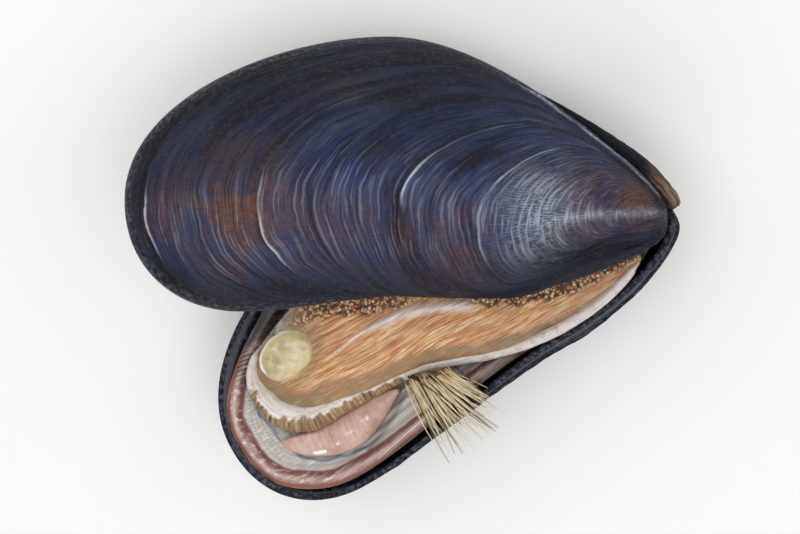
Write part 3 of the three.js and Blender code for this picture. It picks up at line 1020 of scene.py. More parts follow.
@dataclass(frozen=True)
class LiningSkin:
    """Skin of the lower lobe: rust line, mauve border with painted glints, grey-white ticked band, blue line,
    dusk within, painted shade by the rolled edge, the beard and the foot.
    """

    rust: str = "#8a5230"
    maroon: str = "#87544f"
    mauve: str = "#ad8981"
    blush: str = "#cbb3aa"
    white: str = "#efe8e3"
    grey: str = "#bbb5ae"
    ash: str = "#8d8784"
    slate: str = "#5c6d8a"
    dusk: str = "#453c39"
    notch: str = "#3a2626"
    night: str = "#1b1c27"
    soot: str = "#3b2f2f"
    tan: str = "#70503b"

    def build(self, name: str) -> bpy.types.Material:
        """Makes the finish.

        Args:
            name: The material's name.

        Returns:
            The material.
        """
        material, graph, shader = new_material(name, FLESH_SHADER)
        where = graph.place()
        around = graph.fact("around")
        depth = graph.wander(graph.fact("edge"), where, 260.0, 0.22, 0.25, 3.0)
        stops = [
            (0.0, self.rust), (0.02, self.rust), (0.04, self.maroon), (0.075, self.mauve),
            (0.13, self.blush), (0.165, self.mauve), (0.19, self.maroon), (0.225, self.maroon),
            (0.255, self.grey), (0.55, self.grey), (0.75, self.ash), (1.0, self.dusk),
        ]
        body = graph.ramp(graph.math("DIVIDE", depth, 10.0, clamp=True), stops)
        on_border = graph.times(graph.span(depth, 0.4, 0.9), graph.span(depth, 2.3, 1.8))
        body = graph.mix(graph.times(spots(graph, 520.0, 0.5), on_border, 0.6), body, self.maroon)
        streak = graph.noise(graph.grid(around, 150.0, depth, 1.1, 2.0), 1.0, 4.0, 0.6)
        body = graph.mix(graph.times(graph.span(streak, 0.48, 0.36), on_border, 0.5), body, self.maroon)
        # Painted highlights: broken white glints on the mauve border.
        broken = graph.span(graph.noise(where, 140.0), 0.36, 0.54, 0.25, 1.0)
        glint = graph.times(graph.span(streak, 0.52, 0.62), on_border, broken, 0.7)
        body = graph.mix(glint, body, self.white)
        teeth = graph.math("SINE", graph.times(around, 1300.0))
        comb = graph.times(graph.span(teeth, 0.1, 0.6), graph.fact("comb"), graph.span(depth, 0.1, 0.4))
        body = graph.mix(comb, body, self.notch)
        ticks = graph.noise(graph.grid(around, 620.0, depth, 0.7, 5.0), 1.0, 2.0)
        inner = graph.span(depth, 2.2, 2.6)
        body = graph.mix(graph.times(graph.span(ticks, 0.52, 0.66), inner, 0.6), body, self.white)
        body = graph.mix(graph.times(graph.span(ticks, 0.46, 0.34), inner, 0.45), body, self.ash)
        apart = graph.math("ABSOLUTE", graph.wander(graph.fact("line"), where, 400.0, 0.15))
        body = graph.mix(graph.times(graph.span(apart, 0.32, 0.1), 0.85), body, self.slate)
        # Painted shade from the shade mask, broken up by the ticks.
        shade = graph.times(graph.fact("shade"), graph.span(ticks, 0.3, 0.6, 0.9, 0.6))
        body = graph.mix(shade, body, self.dusk)
        edging = graph.ramp(ticks, [(0.4, self.night), (0.58, self.soot), (0.68, self.tan)])
        body = graph.mix(graph.fact("far"), body, edging)
        film = use(graph, Effect.WET, {"Place": where, "Scale": 550.0, "Dry": 0.4})
        dress(graph, shader, body, film["Roughness"], graph.math("ADD", film["Height"], ticks), 0.08)
        return material


@dataclass(frozen=True)
class PlainFlesh:
    """Wet flesh of one colour family: mottled, flecked, with cross ticks and painted highlights as pale
    glints where its edge mask is set.
    """

    middle: str
    light: str
    dark: str
    glint: str
    ticks: float
    dry: float = 0.42

    def build(self, name: str) -> bpy.types.Material:
        """Makes the finish.

        Args:
            name: The material's name.

        Returns:
            The material.
        """
        material, graph, shader = new_material(name, FLESH_SHADER)
        where = graph.place()
        tones = [(0.3, self.dark), (0.46, self.middle), (0.75, self.light)]
        body = graph.ramp(graph.noise(where, 260.0, 5.0), tones)
        body = graph.mix(graph.times(spots(graph, 1300.0, 0.48), 0.45), body, self.dark)
        tick = graph.noise(graph.grid(graph.fact("along"), 150.0, graph.fact("turn"), 3.0, 1.0), 1.0, 2.0)
        body = graph.mix(graph.times(graph.span(tick, 0.55, 0.66), self.ticks), body, self.light)
        body = graph.mix(graph.times(graph.span(tick, 0.45, 0.34), self.ticks), body, self.dark)
        # Painted highlight: pale glints where the edge mask is set, broken by noise.
        shine = graph.times(graph.fact("edge"), graph.span(graph.noise(where, 420.0, 2.0), 0.44, 0.54))
        body = graph.mix(shine, body, self.glint)
        film = use(graph, Effect.WET, {"Place": where, "Scale": 800.0, "Dry": self.dry})
        height = graph.math("ADD", film["Height"], graph.times(tick, self.ticks))
        dress(graph, shader, body, film["Roughness"], height, 0.07)
        return material


@dataclass(frozen=True)
class BeardThread:
    """Dry horny threads, straw to dark brown from one to the next."""

    dark: str = "#2a2016"
    brown: str = "#b09066"
    straw: str = "#e6d0a6"
    pale: str = "#f0e4c8"

    def build(self, name: str) -> bpy.types.Material:
        """Makes the finish.

        Args:
            name: The material's name.

        Returns:
            The material.
        """
        material, graph, shader = new_material(name, {"IOR": 1.4})
        tone = graph.wander(graph.fact("tone"), graph.place(), 900.0, 0.12)
        body = graph.ramp(tone, [(0.0, self.dark), (0.3, self.brown), (0.6, self.straw), (1.0, self.pale)])
        grain = fibres(graph, "along", "turn", 9.0, 12.0)
        dress(graph, shader, body, graph.span(grain["Broad"], 0.0, 1.0, 0.45, 0.7), grain["Fine"], 0.02)
        return material


# Pieces


def add_piece(
    surface: Surface, name: str, node: str, finishes: list[bpy.types.Material], place: Lie
) -> bpy.types.Object:
    """Makes a piece, gives it its finishes and sets it in the frame.

    Args:
        surface: Its shape in its own frame.
        name: The piece's name.
        node: The CAD node it stands for.
        finishes: Materials, the second for the faces marked so.
        place: How its frame lies in the pair.

    Returns:
        The piece.
    """
    piece = surface.to_object(name, place)
    for finish in finishes:
        piece.data.materials.append(finish)
    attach(piece, "root")
    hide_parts(node)
    LOG.info("%s: %d faces", name, len(piece.data.polygons))
    return piece


@dataclass
class Valve:
    """One valve: an outer dome with growth relief, an inner dome, and the rim between them.

    Attributes:
        side: Upper or lower.
        bulge: How far the open flank swells outward, mm.
        lie: How the valve lies in the pair.
        depth, wall, rim_width: Height of the dome, thickness of the shell and width of its rim, mm.
        around, outer_rounds, inner_rounds: Points in a round, and rounds of the two sheets.
        relief: The growth bands of the outer sheet.
        rust_blots: Rust patches, each with its middle, its two half sizes and its strength.
    """

    side: Side
    bulge: float
    lie: Lie
    depth: float = 13.0
    wall: float = 1.1
    rim_width: float = 0.8
    around: int = 330
    outer_rounds: int = 200
    inner_rounds: int = 56
    relief: GrowthRelief = field(default_factory=GrowthRelief)
    rust_blots: tuple[tuple[float, ...], ...] = (
        (-55, 1, 6.5, 8, 1.0),
        (-65, 1, 3, 6, 0.4),
        (-43, -2, 7, 5, 0.4),
        (-28, -2, 6, 5, 0.65),
        (-10, 2, 8, 5, 0.6),
        (-3, 2, 3, 3, 0.9),
        (-40, 15, 9, 2, 0.35),
    )

    def colour_masks(self, x: Array, y: Array, loop: Array) -> dict[str, Array]:
        """Where the outside is darkened (painted shade and its own dark border), where it is rusty and where
        it carries painted highlights, and how far each place is from the rim.

        Args:
            x, y: Plan places.
            loop: The outline.

        Returns:
            The masks by name.
        """
        _, across = Dome(loop, 1.0, 0.0).shares(x, y)
        rim = distance_to(np.stack([x, y], axis=-1), loop[::3])
        uneven = waves(x, y, 12.0, 31)
        # Painted shade: darker towards the hinge margin, on the hinge shoulder, towards the open margin and
        # on the steep open flank by the beak, where the dome falls away from the light. edge_dark is the
        # shell's own dark border.
        hinge_painted_shade = 0.6 * smooth_step(0.42, 0.66, across + 0.06 * uneven)
        hinge_painted_shade = hinge_painted_shade + 0.38 * smooth_step(0.72, 0.95, across)
        hinge_painted_shade = hinge_painted_shade * (1 - 0.6 * smooth_step(-25.0, -15.0, x))
        shoulder_painted_shade = 0.95 * bell(np.hypot((x + 33.0) / 10.0, (y - 15.0) / 4.0), 1.0)
        open_painted_shade = 0.92 * smooth_step(0.27, 0.05, across + 0.03 * uneven)
        flank_painted_shade = smooth_step(-1.0, -3.4, y) * smooth_step(-34.0, -18.0, x) * 0.85
        edge_dark = bell(rim, 1.9)
        dark = np.maximum.reduce([hinge_painted_shade, shoulder_painted_shade, open_painted_shade, flank_painted_shade, edge_dark])
        rust = np.zeros_like(x)
        for middle_x, middle_y, half_x, half_y, strength in self.rust_blots:
            rust += strength * bell(np.hypot((x - middle_x) / half_x, (y - middle_y) / half_y), 1.0)
        # Painted highlights: a pale line along the ridge crest, a pale spot on the ridge and a pale line just
        # inside the hinge margin by the beak.
        ridge_highlight = bell(y - 0.3 - 0.15 * uneven, 0.5) * smooth_step(-20.0, -13.0, x) * smooth_step(-0.5, -2.5, x)
        ridge_spot_highlight = bell(np.hypot((x + 17.0) / 1.3, (y - 1.6) / 1.1), 3.3)
        margin_highlight = bell(rim - 0.75, 0.17) * smooth_step(-22.0, -16.0, x) * smooth_step(1.5, 3.5, y)
        return {
            "rim": rim,
            # painted shade, with the shell's own dark border at the rim
            "dark": np.clip(dark, 0, 1),
            "rust": np.clip(rust + 0.14 * np.clip(uneven, 0, 1), 0, 1),
            # painted highlights
            "worn": np.clip(0.6 * ridge_spot_highlight + 0.5 * ridge_highlight + 1.1 * margin_highlight, 0, 1),
        }

    def outside(self) -> tuple[Array, dict[str, Array]]:
        """The outer sheet: the dome moved along its normal by the growth relief, with its colour masks.

        Returns:
            Points, rounds x places, and the masks by name.
        """
        loop = ShellOutline().loop()
        growth = np.linspace(0, 1, self.outer_rounds + 1)[1:] ** 0.92
        points, x, y = Dome(loop, self.depth, self.bulge).rounds(growth, self.around)
        grown, turned = np.meshgrid(growth, np.linspace(0, 1, self.around, endpoint=False), indexing="ij")
        normal = np.cross(np.gradient(points, axis=0), np.gradient(points, axis=1))
        normal /= np.linalg.norm(normal, axis=-1, keepdims=True) + 1e-9
        relief = self.relief.height(grown, turned) + 0.14 * waves(x, y, 9.0, 21) + 0.05 * waves(x, y, 2.6, 22)
        settled = np.minimum(1, points[..., 2] / 2) * smooth_step(0.0, 2.5, np.hypot(x, y))
        facts = {"growth": grown, "around": turned, **self.colour_masks(x, y, loop)}
        return points + normal * (relief * settled)[..., None], facts

    def inside(self) -> tuple[Array, dict[str, Array]]:
        """The inner sheet: the same form on the outline drawn in by the rim's width.

        Returns:
            Points, rounds x places, and the masks by name.
        """
        loop = ShellOutline().loop(self.rim_width)
        growth = np.linspace(0, 1, self.inner_rounds + 1)[1:]
        points, x, y = Dome(loop, self.depth - self.wall, self.bulge).rounds(growth, self.around)
        height = points[..., 2]
        points[..., 2] = np.maximum(height + 0.12 * waves(x, y, 11.0, 41) * np.minimum(1, height / 3), 0)
        grown, turned = np.meshgrid(growth, np.linspace(0, 1, self.around, endpoint=False), indexing="ij")
        rim = distance_to(np.stack([x, y], axis=-1), loop[::3])
        none = np.zeros_like(x)
        facts = {"growth": grown, "around": turned, "rim": rim, "dark": none + 1, "rust": none, "worn": none}
        return points, facts

    def build(self, node: str, slot: str, finishes: list[bpy.types.Material]) -> bpy.types.Object:
        """Makes the valve.

        Args:
            node: The CAD node it stands for.
            slot: The record's material slot; not used.
            finishes: Outside and inside.

        Returns:
            The piece.
        """
        outer, outer_facts = self.outside()
        inner, inner_facts = self.inside()
        pairs = {name: (outer_facts[name], inner_facts[name]) for name in outer_facts}
        surface = two_sheets(outer, inner, pairs)
        if self.side is Side.LOWER:
            surface.points = surface.points * (1, 1, -1)
            surface.quads = surface.quads[:, ::-1]
            surface.tris = surface.tris[:, ::-1]
        return add_piece(surface, node + "_shell", node, finishes, self.lie)


@dataclass
class Ligament:
    """The dark band outside the hinge margins, round the beaks.

    Attributes:
        gap: Space between the margin and the band, mm; below zero the band sinks in.
        upper_arm, lower_arm: Steps round each valve's outline, and how far out the band's line lies there.
        beaks: Where the band rounds the beaks.
        steps_round: Number of steps round the outline.
    """

    gap: float = -0.05
    upper_arm: tuple[tuple[float, float], ...] = ((33, 0.0), (26, 0.22), (18, 0.55), (9, 0.85))
    lower_arm: tuple[tuple[float, float], ...] = ((8, 1.1), (14, 0.7), (20, 0.25))
    beaks: tuple[float, float, float] = (0.75, 1.6, -0.7)
    steps_round: int = 240

    def beside(self, arm: tuple[tuple[float, float], ...], lie: Lie) -> Array:
        """Points outside the hinge margin, each from a step round the outline and a distance."""
        rows = [ShellOutline().loop(-self.gap - out, self.steps_round)[int(step)] for step, out in arm]
        return lie.in_pair(np.hstack([np.array(rows), np.zeros((len(rows), 1))]))

    def build(self, finish: bpy.types.Material) -> bpy.types.Object:
        """Makes the band: strands run along it as ridges about its profile.

        Args:
            finish: Its material.

        Returns:
            The piece.
        """
        upper = self.beside(self.upper_arm, UPPER_LIE)
        lower = self.beside(self.lower_arm, LOWER_LIE)
        path = smooth_path(np.vstack([upper, [self.beaks], lower]), 150)
        share = np.linspace(0, 1, len(path))
        radius = 0.1 + 0.8 * np.sin(math.pi * share) ** 1.1
        radius *= np.minimum(1, np.minimum(share, 1 - share) * 30 + 0.25)
        angle = np.linspace(0, 2 * math.pi, 40, endpoint=False)
        strands = 1 + 0.07 * np.sin(9 * angle + 3 * share[:, None])
        strands = strands + 0.05 * waves(share[:, None] * 30, angle[None] * 2, 1.4, 51)
        band = swept(path, radius, radius, 40, strands)
        return add_piece(band, "ligament_band", "hinge_ligament", [finish], PAIR_LIE)


@dataclass
class SoftBody:
    """The soft body in the lower valve: lining, orange lobe, rolled edge, cut muscle and foot.

    All places and sizes are millimetres in the lower valve's own frame, height up from its rim plane.

    Attributes:
        lining_inset, lining_more, lining_hinge: Space from the shell's outline, more on the open side, more
            on the hinge side.
        lining_back: How far the lining stays behind the beak.
        lining_edge: How far its margin lies below the rim plane.
        dish, under_depth: Depth of its upper and its lower face.
        lift: Height of the lobe's underside above the dish.
        lobe_side, lobe_swell: Height of the lobe's side and of its crown above that.
        centre: The middle of the lobe.
        edge_corners: The rolled edge's line, with its half width.
        hinge_corners: The rest of the lobe's outline, under the upper valve.
        dots_edge, fold_corners: The dotted band's lower edge, and the line of the crease that carries the
            painted highlight.
        blue_corners, foot_shade_corners: The blue line, and the line of painted shade along the foot's
            beak-side edge on the lining.
        muscle_place, muscle_size: Middle of the muscle, and its length and width.
        foot_corners, foot_middle, foot_glint: Outline and middle of the foot, and the line of its shine.
    """

    lining_inset: float = 1.05
    lining_more: float = 0.6
    lining_hinge: float = 1.4
    lining_back: float = 2.4
    lining_edge: float = 0.45
    dish: float = 3.2
    under_depth: float = 8.6
    lift: float = 1.1
    lobe_side: float = 1.2
    lobe_swell: float = 2.3
    centre: tuple[float, float] = (-38.0, 5.5)
    edge_corners: tuple[tuple[float, float, float], ...] = (
        (-6.8, -4.2, 0.35), (-10, -5.5, 0.6), (-14.5, -6.5, 0.7), (-20, -6.85, 0.75), (-24.5, -6.45, 0.75),
        (-28, -5.75, 0.75), (-31.5, -4.7, 0.8), (-35.2, -3.3, 0.85), (-39.5, -1.9, 0.85), (-43.5, -1.4, 0.9),
        (-48, -1.15, 1.1), (-52.5, -0.8, 1.5), (-57.2, -0.5, 1.8), (-60.5, 1.6, 1.9), (-62, 4.8, 1.6),
        (-62.3, 7.6, 1.1), (-61.4, 9.8, 0.7), (-59.2, 11.8, 0.45),
    )
    hinge_corners: tuple[tuple[float, float], ...] = (
        (-52, 14.4), (-45, 15.8), (-37, 16.4), (-28, 13.6), (-20, 8.8), (-13, 4.6), (-8.6, 1.8), (-6.2, -1.2),
    )
    dots_edge: tuple[tuple[float, float], ...] = (
        (-54, 11.6), (-51.7, 11.1), (-49.4, 10.8), (-46.8, 9.6), (-42.6, 7.5), (-39, 6.5), (-36, 5.5),
        (-33.5, 4.2), (-30, 1.9), (-26, -0.4), (-22, -2.2), (-17, -3.6), (-11, -3.8), (-7, -4),
    )
    fold_corners: tuple[tuple[float, float], ...] = (
        (-49.5, 5.3), (-45.7, 5.8), (-41.6, 5.6), (-38, 5.1), (-34, 3.8), (-30, 1.9)
    )
    blue_corners: tuple[tuple[float, float], ...] = (
        (-61.9, 10.5), (-63.6, 8.3), (-64.4, 4.6), (-63.9, 1.3), (-63.4, -1), (-62.1, -3.8),
        (-59.9, -5.7), (-57.4, -6.7), (-54.9, -7.2), (-53, -7.4),
    )
    foot_shade_corners: tuple[tuple[float, float], ...] = (
        (-43.6, -2.6), (-46.5, -4.7), (-49.7, -6.6), (-52.6, -7.7)
    )
    muscle_place: tuple[float, float] = (-56.1, 8.6)
    muscle_size: tuple[float, float] = (8.7, 6.6)
    foot_corners: tuple[tuple[float, float], ...] = (
        (-45, -2.7), (-46.8, -4.2), (-49.8, -6), (-53, -7), (-55.8, -6.8), (-58.4, -5.9), (-60.9, -4.4),
        (-62.5, -2.8), (-63.2, -1.1), (-61.8, -1.1), (-59.6, -1.6), (-56.5, -1.9), (-52.3, -1.8),
        (-48.2, -1.8),
    )
    foot_middle: tuple[float, float] = (-54.0, -4.2)
    foot_glint: tuple[tuple[float, float], ...] = (
        (-59.4, -4.9), (-57.4, -5.5), (-55.4, -5.2), (-52.8, -4.7), (-50.4, -4.2)
    )

    def __post_init__(self) -> None:
        """Works out the lining's outline and dish, and the rolled edge's line."""
        plain = ShellOutline().loop()
        inset = self.lining_inset + self.lining_more * smooth_step(-5.0, -11.0, plain[:, 1])
        loop = ShellOutline().loop(inset + self.lining_hinge * smooth_step(5.0, 17.0, plain[:, 1]))
        loop[:, 0] = loop[:, 0] * (1 - self.lining_back / DRAWN_LENGTH) - self.lining_back
        self.loop = loop
        self.bowl = Dome(loop, self.dish, 0.0)
        self.roll = smooth_path(np.array(self.edge_corners, dtype=float), 520)

    def floor(self, x: Array, y: Array) -> Array:
        """Height of the dish under the lobe."""
        return -self.lining_edge - self.bowl.height(x, y)

    def build_lining(self, finish: bpy.types.Material) -> bpy.types.Object:
        """The lower lobe: a dish with a rounded rippled lip at its margin and faint folds inside it.

        Args:
            finish: Its material.

        Returns:
            The piece.
        """
        growth = 1 - (1 - np.linspace(0, 1, 131)[1:]) ** 1.5
        around = 330
        top, x, y = self.bowl.rounds(growth, around)
        plan = np.stack([x, y], axis=-1)
        edge = distance_to(plan, self.loop[::3])
        turned = np.broadcast_to(np.arange(around) / around, x.shape)
        ripple = np.sin(turned * 748 + 1.5 * waves(turned * 170, edge, 9.0, 61))
        lip = bell(edge - 1.2, 0.8) * (1.0 + 0.05 * ripple)
        folds = 0.12 * np.sin(edge * 5.2 + 0.8 * waves(x, y, 6.0, 62)) * smooth_step(2.2, 3.2, edge)
        fade = smooth_step(-6.0, -16.0, x)
        top[..., 2] = -self.lining_edge - top[..., 2] + (0.9 * lip + folds) * (0.35 + 0.65 * fade)
        below, _, _ = Dome(self.loop, self.under_depth, 1.1).rounds(np.linspace(0, 1, 13)[1:], around)
        below[..., 2] = -self.lining_edge - 0.2 - below[..., 2]
        gap, side = nearest(plan, smooth_path(np.array(self.blue_corners), 300))
        roll_gap = distance_to(plan, self.roll[::3, :2])
        # Painted shade: dark beside and under the rolled edge, at the beard's root and along the foot's
        # beak-side edge.
        under_roll = 0.75 * smooth_step(3.4, 1.6, roll_gap)
        at_beard = bell(np.hypot((x + 39.4) / 2.6, (y + 4.2) / 1.5), 1.0)
        foot_shade_gap = distance_to(plan, smooth_path(np.array(self.foot_shade_corners), 80))
        shade = np.maximum.reduce([under_roll, at_beard, 0.95 * bell(foot_shade_gap, 0.4)])
        facts = {
            "edge": edge,
            "around": turned,
            "line": np.clip(gap * side, -3, 3),
            "comb": np.clip(1.5 * bell(np.hypot(x + 62.6, y - 10.9), 1.9), 0, 1),
            "shade": np.clip(shade, 0, 1),
            "far": smooth_step(12.0, 13.8, y + 0.3 * waves(x, y, 2.0, 63)),
        }
        under = {"edge": 9.0, "around": 0.0, "line": 3.0, "comb": 0.0, "shade": 0.0, "far": 0.0}
        pairs = {name: (facts[name], np.full(below.shape[:2], under[name])) for name in facts}
        surface = two_sheets(top, below, pairs)
        surface.second_finish = None
        return add_piece(surface, "lining_lobe", "lower_mantle", [finish], LOWER_LIE)

    def build_lobe(self, finish: bpy.types.Material) -> bpy.types.Object:
        """The orange lobe: scaled copies of its outline rise to a cushion with a crease and low swellings.

        Args:
            finish: Its material.

        Returns:
            The piece.
        """
        corners = [corner[:2] for corner in self.edge_corners] + list(self.hinge_corners)
        outline = smooth_path(np.array(corners, dtype=float), 280, closed=True)[:-1]
        share = np.linspace(0, 1, 101)[1:] ** 0.8
        plan = np.array(self.centre) + share[:, None, None] * (outline - np.array(self.centre))
        x, y = plan[..., 0], plan[..., 1]
        swell = self.lobe_swell * np.sqrt(np.maximum(0, 1 - share[:, None] ** 3))
        fold_gap = distance_to(plan, smooth_path(np.array(self.fold_corners), 120))
        width = 0.12 + 0.55 * smooth_step(-49.0, -37.0, x)
        crease = np.exp(-((fold_gap / width) ** 2))
        lumps = 0.2 * waves(x, y, 5.0, 72) + 0.1 * waves(x * 0.3, y, 1.2, 73)
        lumps = lumps * (1 - share[:, None] ** 4)
        height = self.floor(x, y) * 0.35 + self.lobe_side + swell + lumps + 0.6 * crease
        muscle_gap = np.hypot((x - self.muscle_place[0]) / 5.0, (y - self.muscle_place[1]) / 4.0)
        height = height - 0.9 * bell(muscle_gap, 1.0)
        top = np.stack([x, y, height], axis=-1)
        bottom = np.stack([x, y, self.floor(x, y) + self.lift], axis=-1)
        centres = np.array([top[0].mean(0), bottom[0].mean(0)])
        roll_gap = distance_to(plan, self.roll[::3, :2])
        near_edge = smooth_step(2.3, 1.1, roll_gap - 1.7 * smooth_step(-45.0, -54.0, x))
        near_edge = near_edge * smooth_step(-10.0, -24.0, x)
        line = np.interp(x, *np.array(self.dots_edge).T)
        dots = smooth_step(-0.5, 0.4, y - line + 0.25 * waves(x, y, 2.2, 74))
        dots = dots * (1 - 0.85 * bell(x + 33.5, 3.2))
        grey = bell(np.hypot((x + 56.4) / 4.6, (y - 13.1) / 1.9), 1.0)
        facts = {
            "plan_x": x,
            "plan_y": y + 0.3 * waves(x, y, 14.0, 75),
            "edge": np.clip(near_edge + 0.55 * bell(muscle_gap - 1.0, 0.28), 0, 1),
            "dots": np.clip(dots - 1.2 * grey, 0, 1) * 0.95,
            # where the painted highlight runs along the crease
            "fold": np.clip(crease * 1.1, 0, 1),
            "grey": np.clip(1.3 * grey, 0, 1),
        }
        surface = disc_pair(top, bottom, centres, facts)
        return add_piece(surface, "orange_lobe", "mantle", [finish], LOWER_LIE)

    def build_edge(self, finish: bpy.types.Material) -> bpy.types.Object:
        """The rolled edge: a bar along the lobe's edge, thin by the beak, wide and pleated at the broad end.

        Args:
            finish: Its material.

        Returns:
            The piece.
        """
        sides = 44
        x, y, half = self.roll.T
        tall = 0.45 + 0.72 * half
        path = np.column_stack([x, y, self.floor(x, y) + self.lift + 0.9 * tall])
        share = np.linspace(0, 1, len(path))
        run = share * np.linalg.norm(np.diff(path, axis=0), axis=1).sum()
        ends = np.clip(np.minimum(share, 1 - share) * 40, 0.15, 1)
        angle = np.linspace(0, 2 * math.pi, sides, endpoint=False)
        turn = np.where(angle > math.pi, angle - 2 * math.pi, angle)
        strong = smooth_step(-40.5, -46.0, x) * smooth_step(8.6, 5.6, y)
        pleat = np.sin(run * 7.6 + 1.6 * waves(run, run * 0, 4.0, 81))
        lobes = np.abs(np.sin(run * 1.3 + 0.9 * waves(run, run * 0, 7.0, 84)))
        turning = (0.5 - 0.07 * lobes + 0.01 * pleat + 0.05 * waves(run, run * 0, 5.0, 85))[:, None] * math.pi
        under = smooth_step(0.42, -0.42, turn - turning) * strong[:, None]
        shape = 1 + 0.025 * pleat[:, None] * under + 0.04 * waves(run[:, None], angle[None] * 2, 3.0, 82)
        shape = shape + 0.05 * (lobes * strong)[:, None] * bell(turn - 0.45 * math.pi, 0.4)
        roll = swept(path, ends * half, ends * tall, sides, shape)
        roll.facts["under"] = np.concatenate(([0, 0], under.ravel()))
        return add_piece(roll, "rolled_edge", "mantle", [finish], LOWER_LIE)

    def build_muscle(self, finish: bpy.types.Material) -> bpy.types.Object:
        """The cut muscle: an oval block with a rounded shoulder and a low uneven face.

        Args:
            finish: Its material.

        Returns:
            The piece.
        """
        angle = np.linspace(0, 2 * math.pi, 140, endpoint=False)
        share = np.linspace(0, 1, 46)[1:, None]
        turn = math.radians(5)
        wide, deep = self.muscle_size[0] / 2, self.muscle_size[1] / 2
        ragged = 1 + 0.012 * np.sin(5 * angle + 1) + 0.006 * np.sin(11 * angle)
        u = share * wide * np.cos(angle) * ragged
        v = share * deep * np.sin(angle) * ragged
        x = self.muscle_place[0] + u * math.cos(turn) - v * math.sin(turn)
        y = self.muscle_place[1] + u * math.sin(turn) + v * math.cos(turn)
        face = 1.0 + 1.5 * (1 - share**7) ** 0.5 + 0.1 * waves(u, v, 1.6, 91) * (1 - share**4)
        top = np.stack([x, y, face], axis=-1)
        bottom = np.stack([x, y, np.full_like(x, 0.9)], axis=-1)
        # Painted highlight: a pale rim, strongest on the side the light is taken to come from, and a faint
        # inner ring; carried as the edge mask.
        lit = 0.1 + 0.9 * smooth_step(0.1, 0.8, np.cos(angle - 0.7 * math.pi))
        rim = 1.5 * bell(share - 0.9, 0.06) * lit + 0.35 * bell(share - 0.45, 0.12)
        centres = np.array([top[0].mean(0), bottom[0].mean(0)])
        surface = disc_pair(top, bottom, centres, {"edge": np.clip(rim, 0, 1)})
        return add_piece(surface, "cut_muscle", "adductor_muscle", [finish], LOWER_LIE)

    def build_foot(self, finish: bpy.types.Material) -> bpy.types.Object:
        """The foot: scaled copies of its outline rise to a low cushion, tucked under the rolled edge.

        Args:
            finish: Its material.

        Returns:
            The piece.
        """
        outline = smooth_path(np.array(self.foot_corners, dtype=float), 240, closed=True)[:-1]
        share = np.linspace(0, 1, 61)[1:] ** 0.8
        plan = np.array(self.foot_middle) + share[:, None, None] * (outline - np.array(self.foot_middle))
        x, y = plan[..., 0], plan[..., 1]
        wrinkle = 0.05 * waves(x * 3, y * 0.5, 2.4, 95) + 0.06 * waves(x, y, 3.0, 96)
        low = self.floor(x, y) + self.lift
        top = np.stack([x, y, low + 0.1 + (1.15 + wrinkle) * np.sqrt(1 - share[:, None] ** 3)], axis=-1)
        bottom = np.stack([x, y, low - 0.15], axis=-1)
        # Painted highlight: a pale glint along a line on the foot, carried as the edge mask.
        glint = distance_to(plan, smooth_path(np.array(self.foot_glint), 60))
        facts = {"along": -x / DRAWN_LENGTH, "turn": -y / 12, "edge": bell(glint, 0.24)}
        centres = np.array([top[0].mean(0), bottom[0].mean(0)])
        surface = disc_pair(top, bottom, centres, facts)
        return add_piece(surface, "tongue_foot", "foot", [finish], LOWER_LIE)


@dataclass
class Beard:
    """The byssus: a dark root under the rolled edge and a fan of threads over the rim, to their tips.

    Attributes:
        root_start, root_end: The two ends of the root, in the lower valve's frame, mm.
        tips: The row along which the threads end.
        count, seed: Number of threads, and what chooses their bends.
    """

    root_start: tuple[float, float, float] = (-42.2, -2.5, 0.9)
    root_end: tuple[float, float, float] = (-36.3, -4.5, 0.9)
    tips: tuple[tuple[float, float, float], ...] = (
        (-43.2, -14.2, -1.1), (-42.4, -14.8, -1.2), (-40, -14.4, -1.3), (-37.6, -14.2, -1.4),
        (-35.4, -13.9, -1.2), (-33.6, -12, -0.6), (-33.4, -10.2, 1.2), (-33.8, -8.6, 1.3),
    )
    count: int = 92
    seed: int = 17

    def build(self, finish: bpy.types.Material) -> bpy.types.Object:
        """Makes the threads: each a bent line from the root to a place along the row of tips.

        Args:
            finish: Its material.

        Returns:
            The piece.
        """
        random = np.random.default_rng(self.seed)
        start, end = np.array(self.root_start), np.array(self.root_end)
        row = smooth_path(np.array(self.tips), 200)
        order = np.clip(random.uniform(0, 1, self.count), 0, 1)
        root = start + order[:, None] * (end - start)
        root = root + random.normal(0, 1, (self.count, 3)) * (0.35, 0.3, 0.25)
        goal = row[np.clip((order + random.normal(0, 0.11, self.count)) * 200, 0, 200).astype(int)]
        tip = root + (goal - root) * random.uniform(0.72, 1.04, (self.count, 1))
        tip = tip + random.normal(0, 0.25, (self.count, 3))
        bend = root + (tip - root) * 0.5
        bend[:, 2] = 1.7 + random.uniform(0, 0.8, self.count)
        bend[:, :2] += random.normal(0, 0.3, (self.count, 2))
        share = np.linspace(0, 1, 15)[:, None]
        shades = np.where(random.uniform(0, 1, self.count) < 0.13, 0.08, random.uniform(0.6, 1.2, self.count))
        sizes = random.uniform(0.07, 0.15, self.count)
        threads = []
        for first, middle, last, shade, size in zip(root, bend, tip, shades, sizes):
            path = (1 - share) ** 2 * first + 2 * (1 - share) * share * middle + share**2 * last
            radius = np.linspace(size, 0.035, len(path))
            thread = swept(path, radius, radius, 6)
            thread.facts["tone"] = np.clip(shade * (0.5 + 0.75 * thread.facts["along"]), 0, 1)
            threads.append(thread)
        angle = np.linspace(0.02, math.pi - 0.02, 24)
        spine = start + (0.5 - 0.5 * np.cos(angle))[:, None] * (end - start)
        stub = swept(spine, 0.6 * np.sin(angle) ** 0.6, 0.5 * np.sin(angle) ** 0.6, 14)
        stub.facts["tone"] = np.full(len(stub.points), 0.1)
        return add_piece(joined([*threads, stub]), "beard_threads", "byssus", [finish], LOWER_LIE)


# Stage


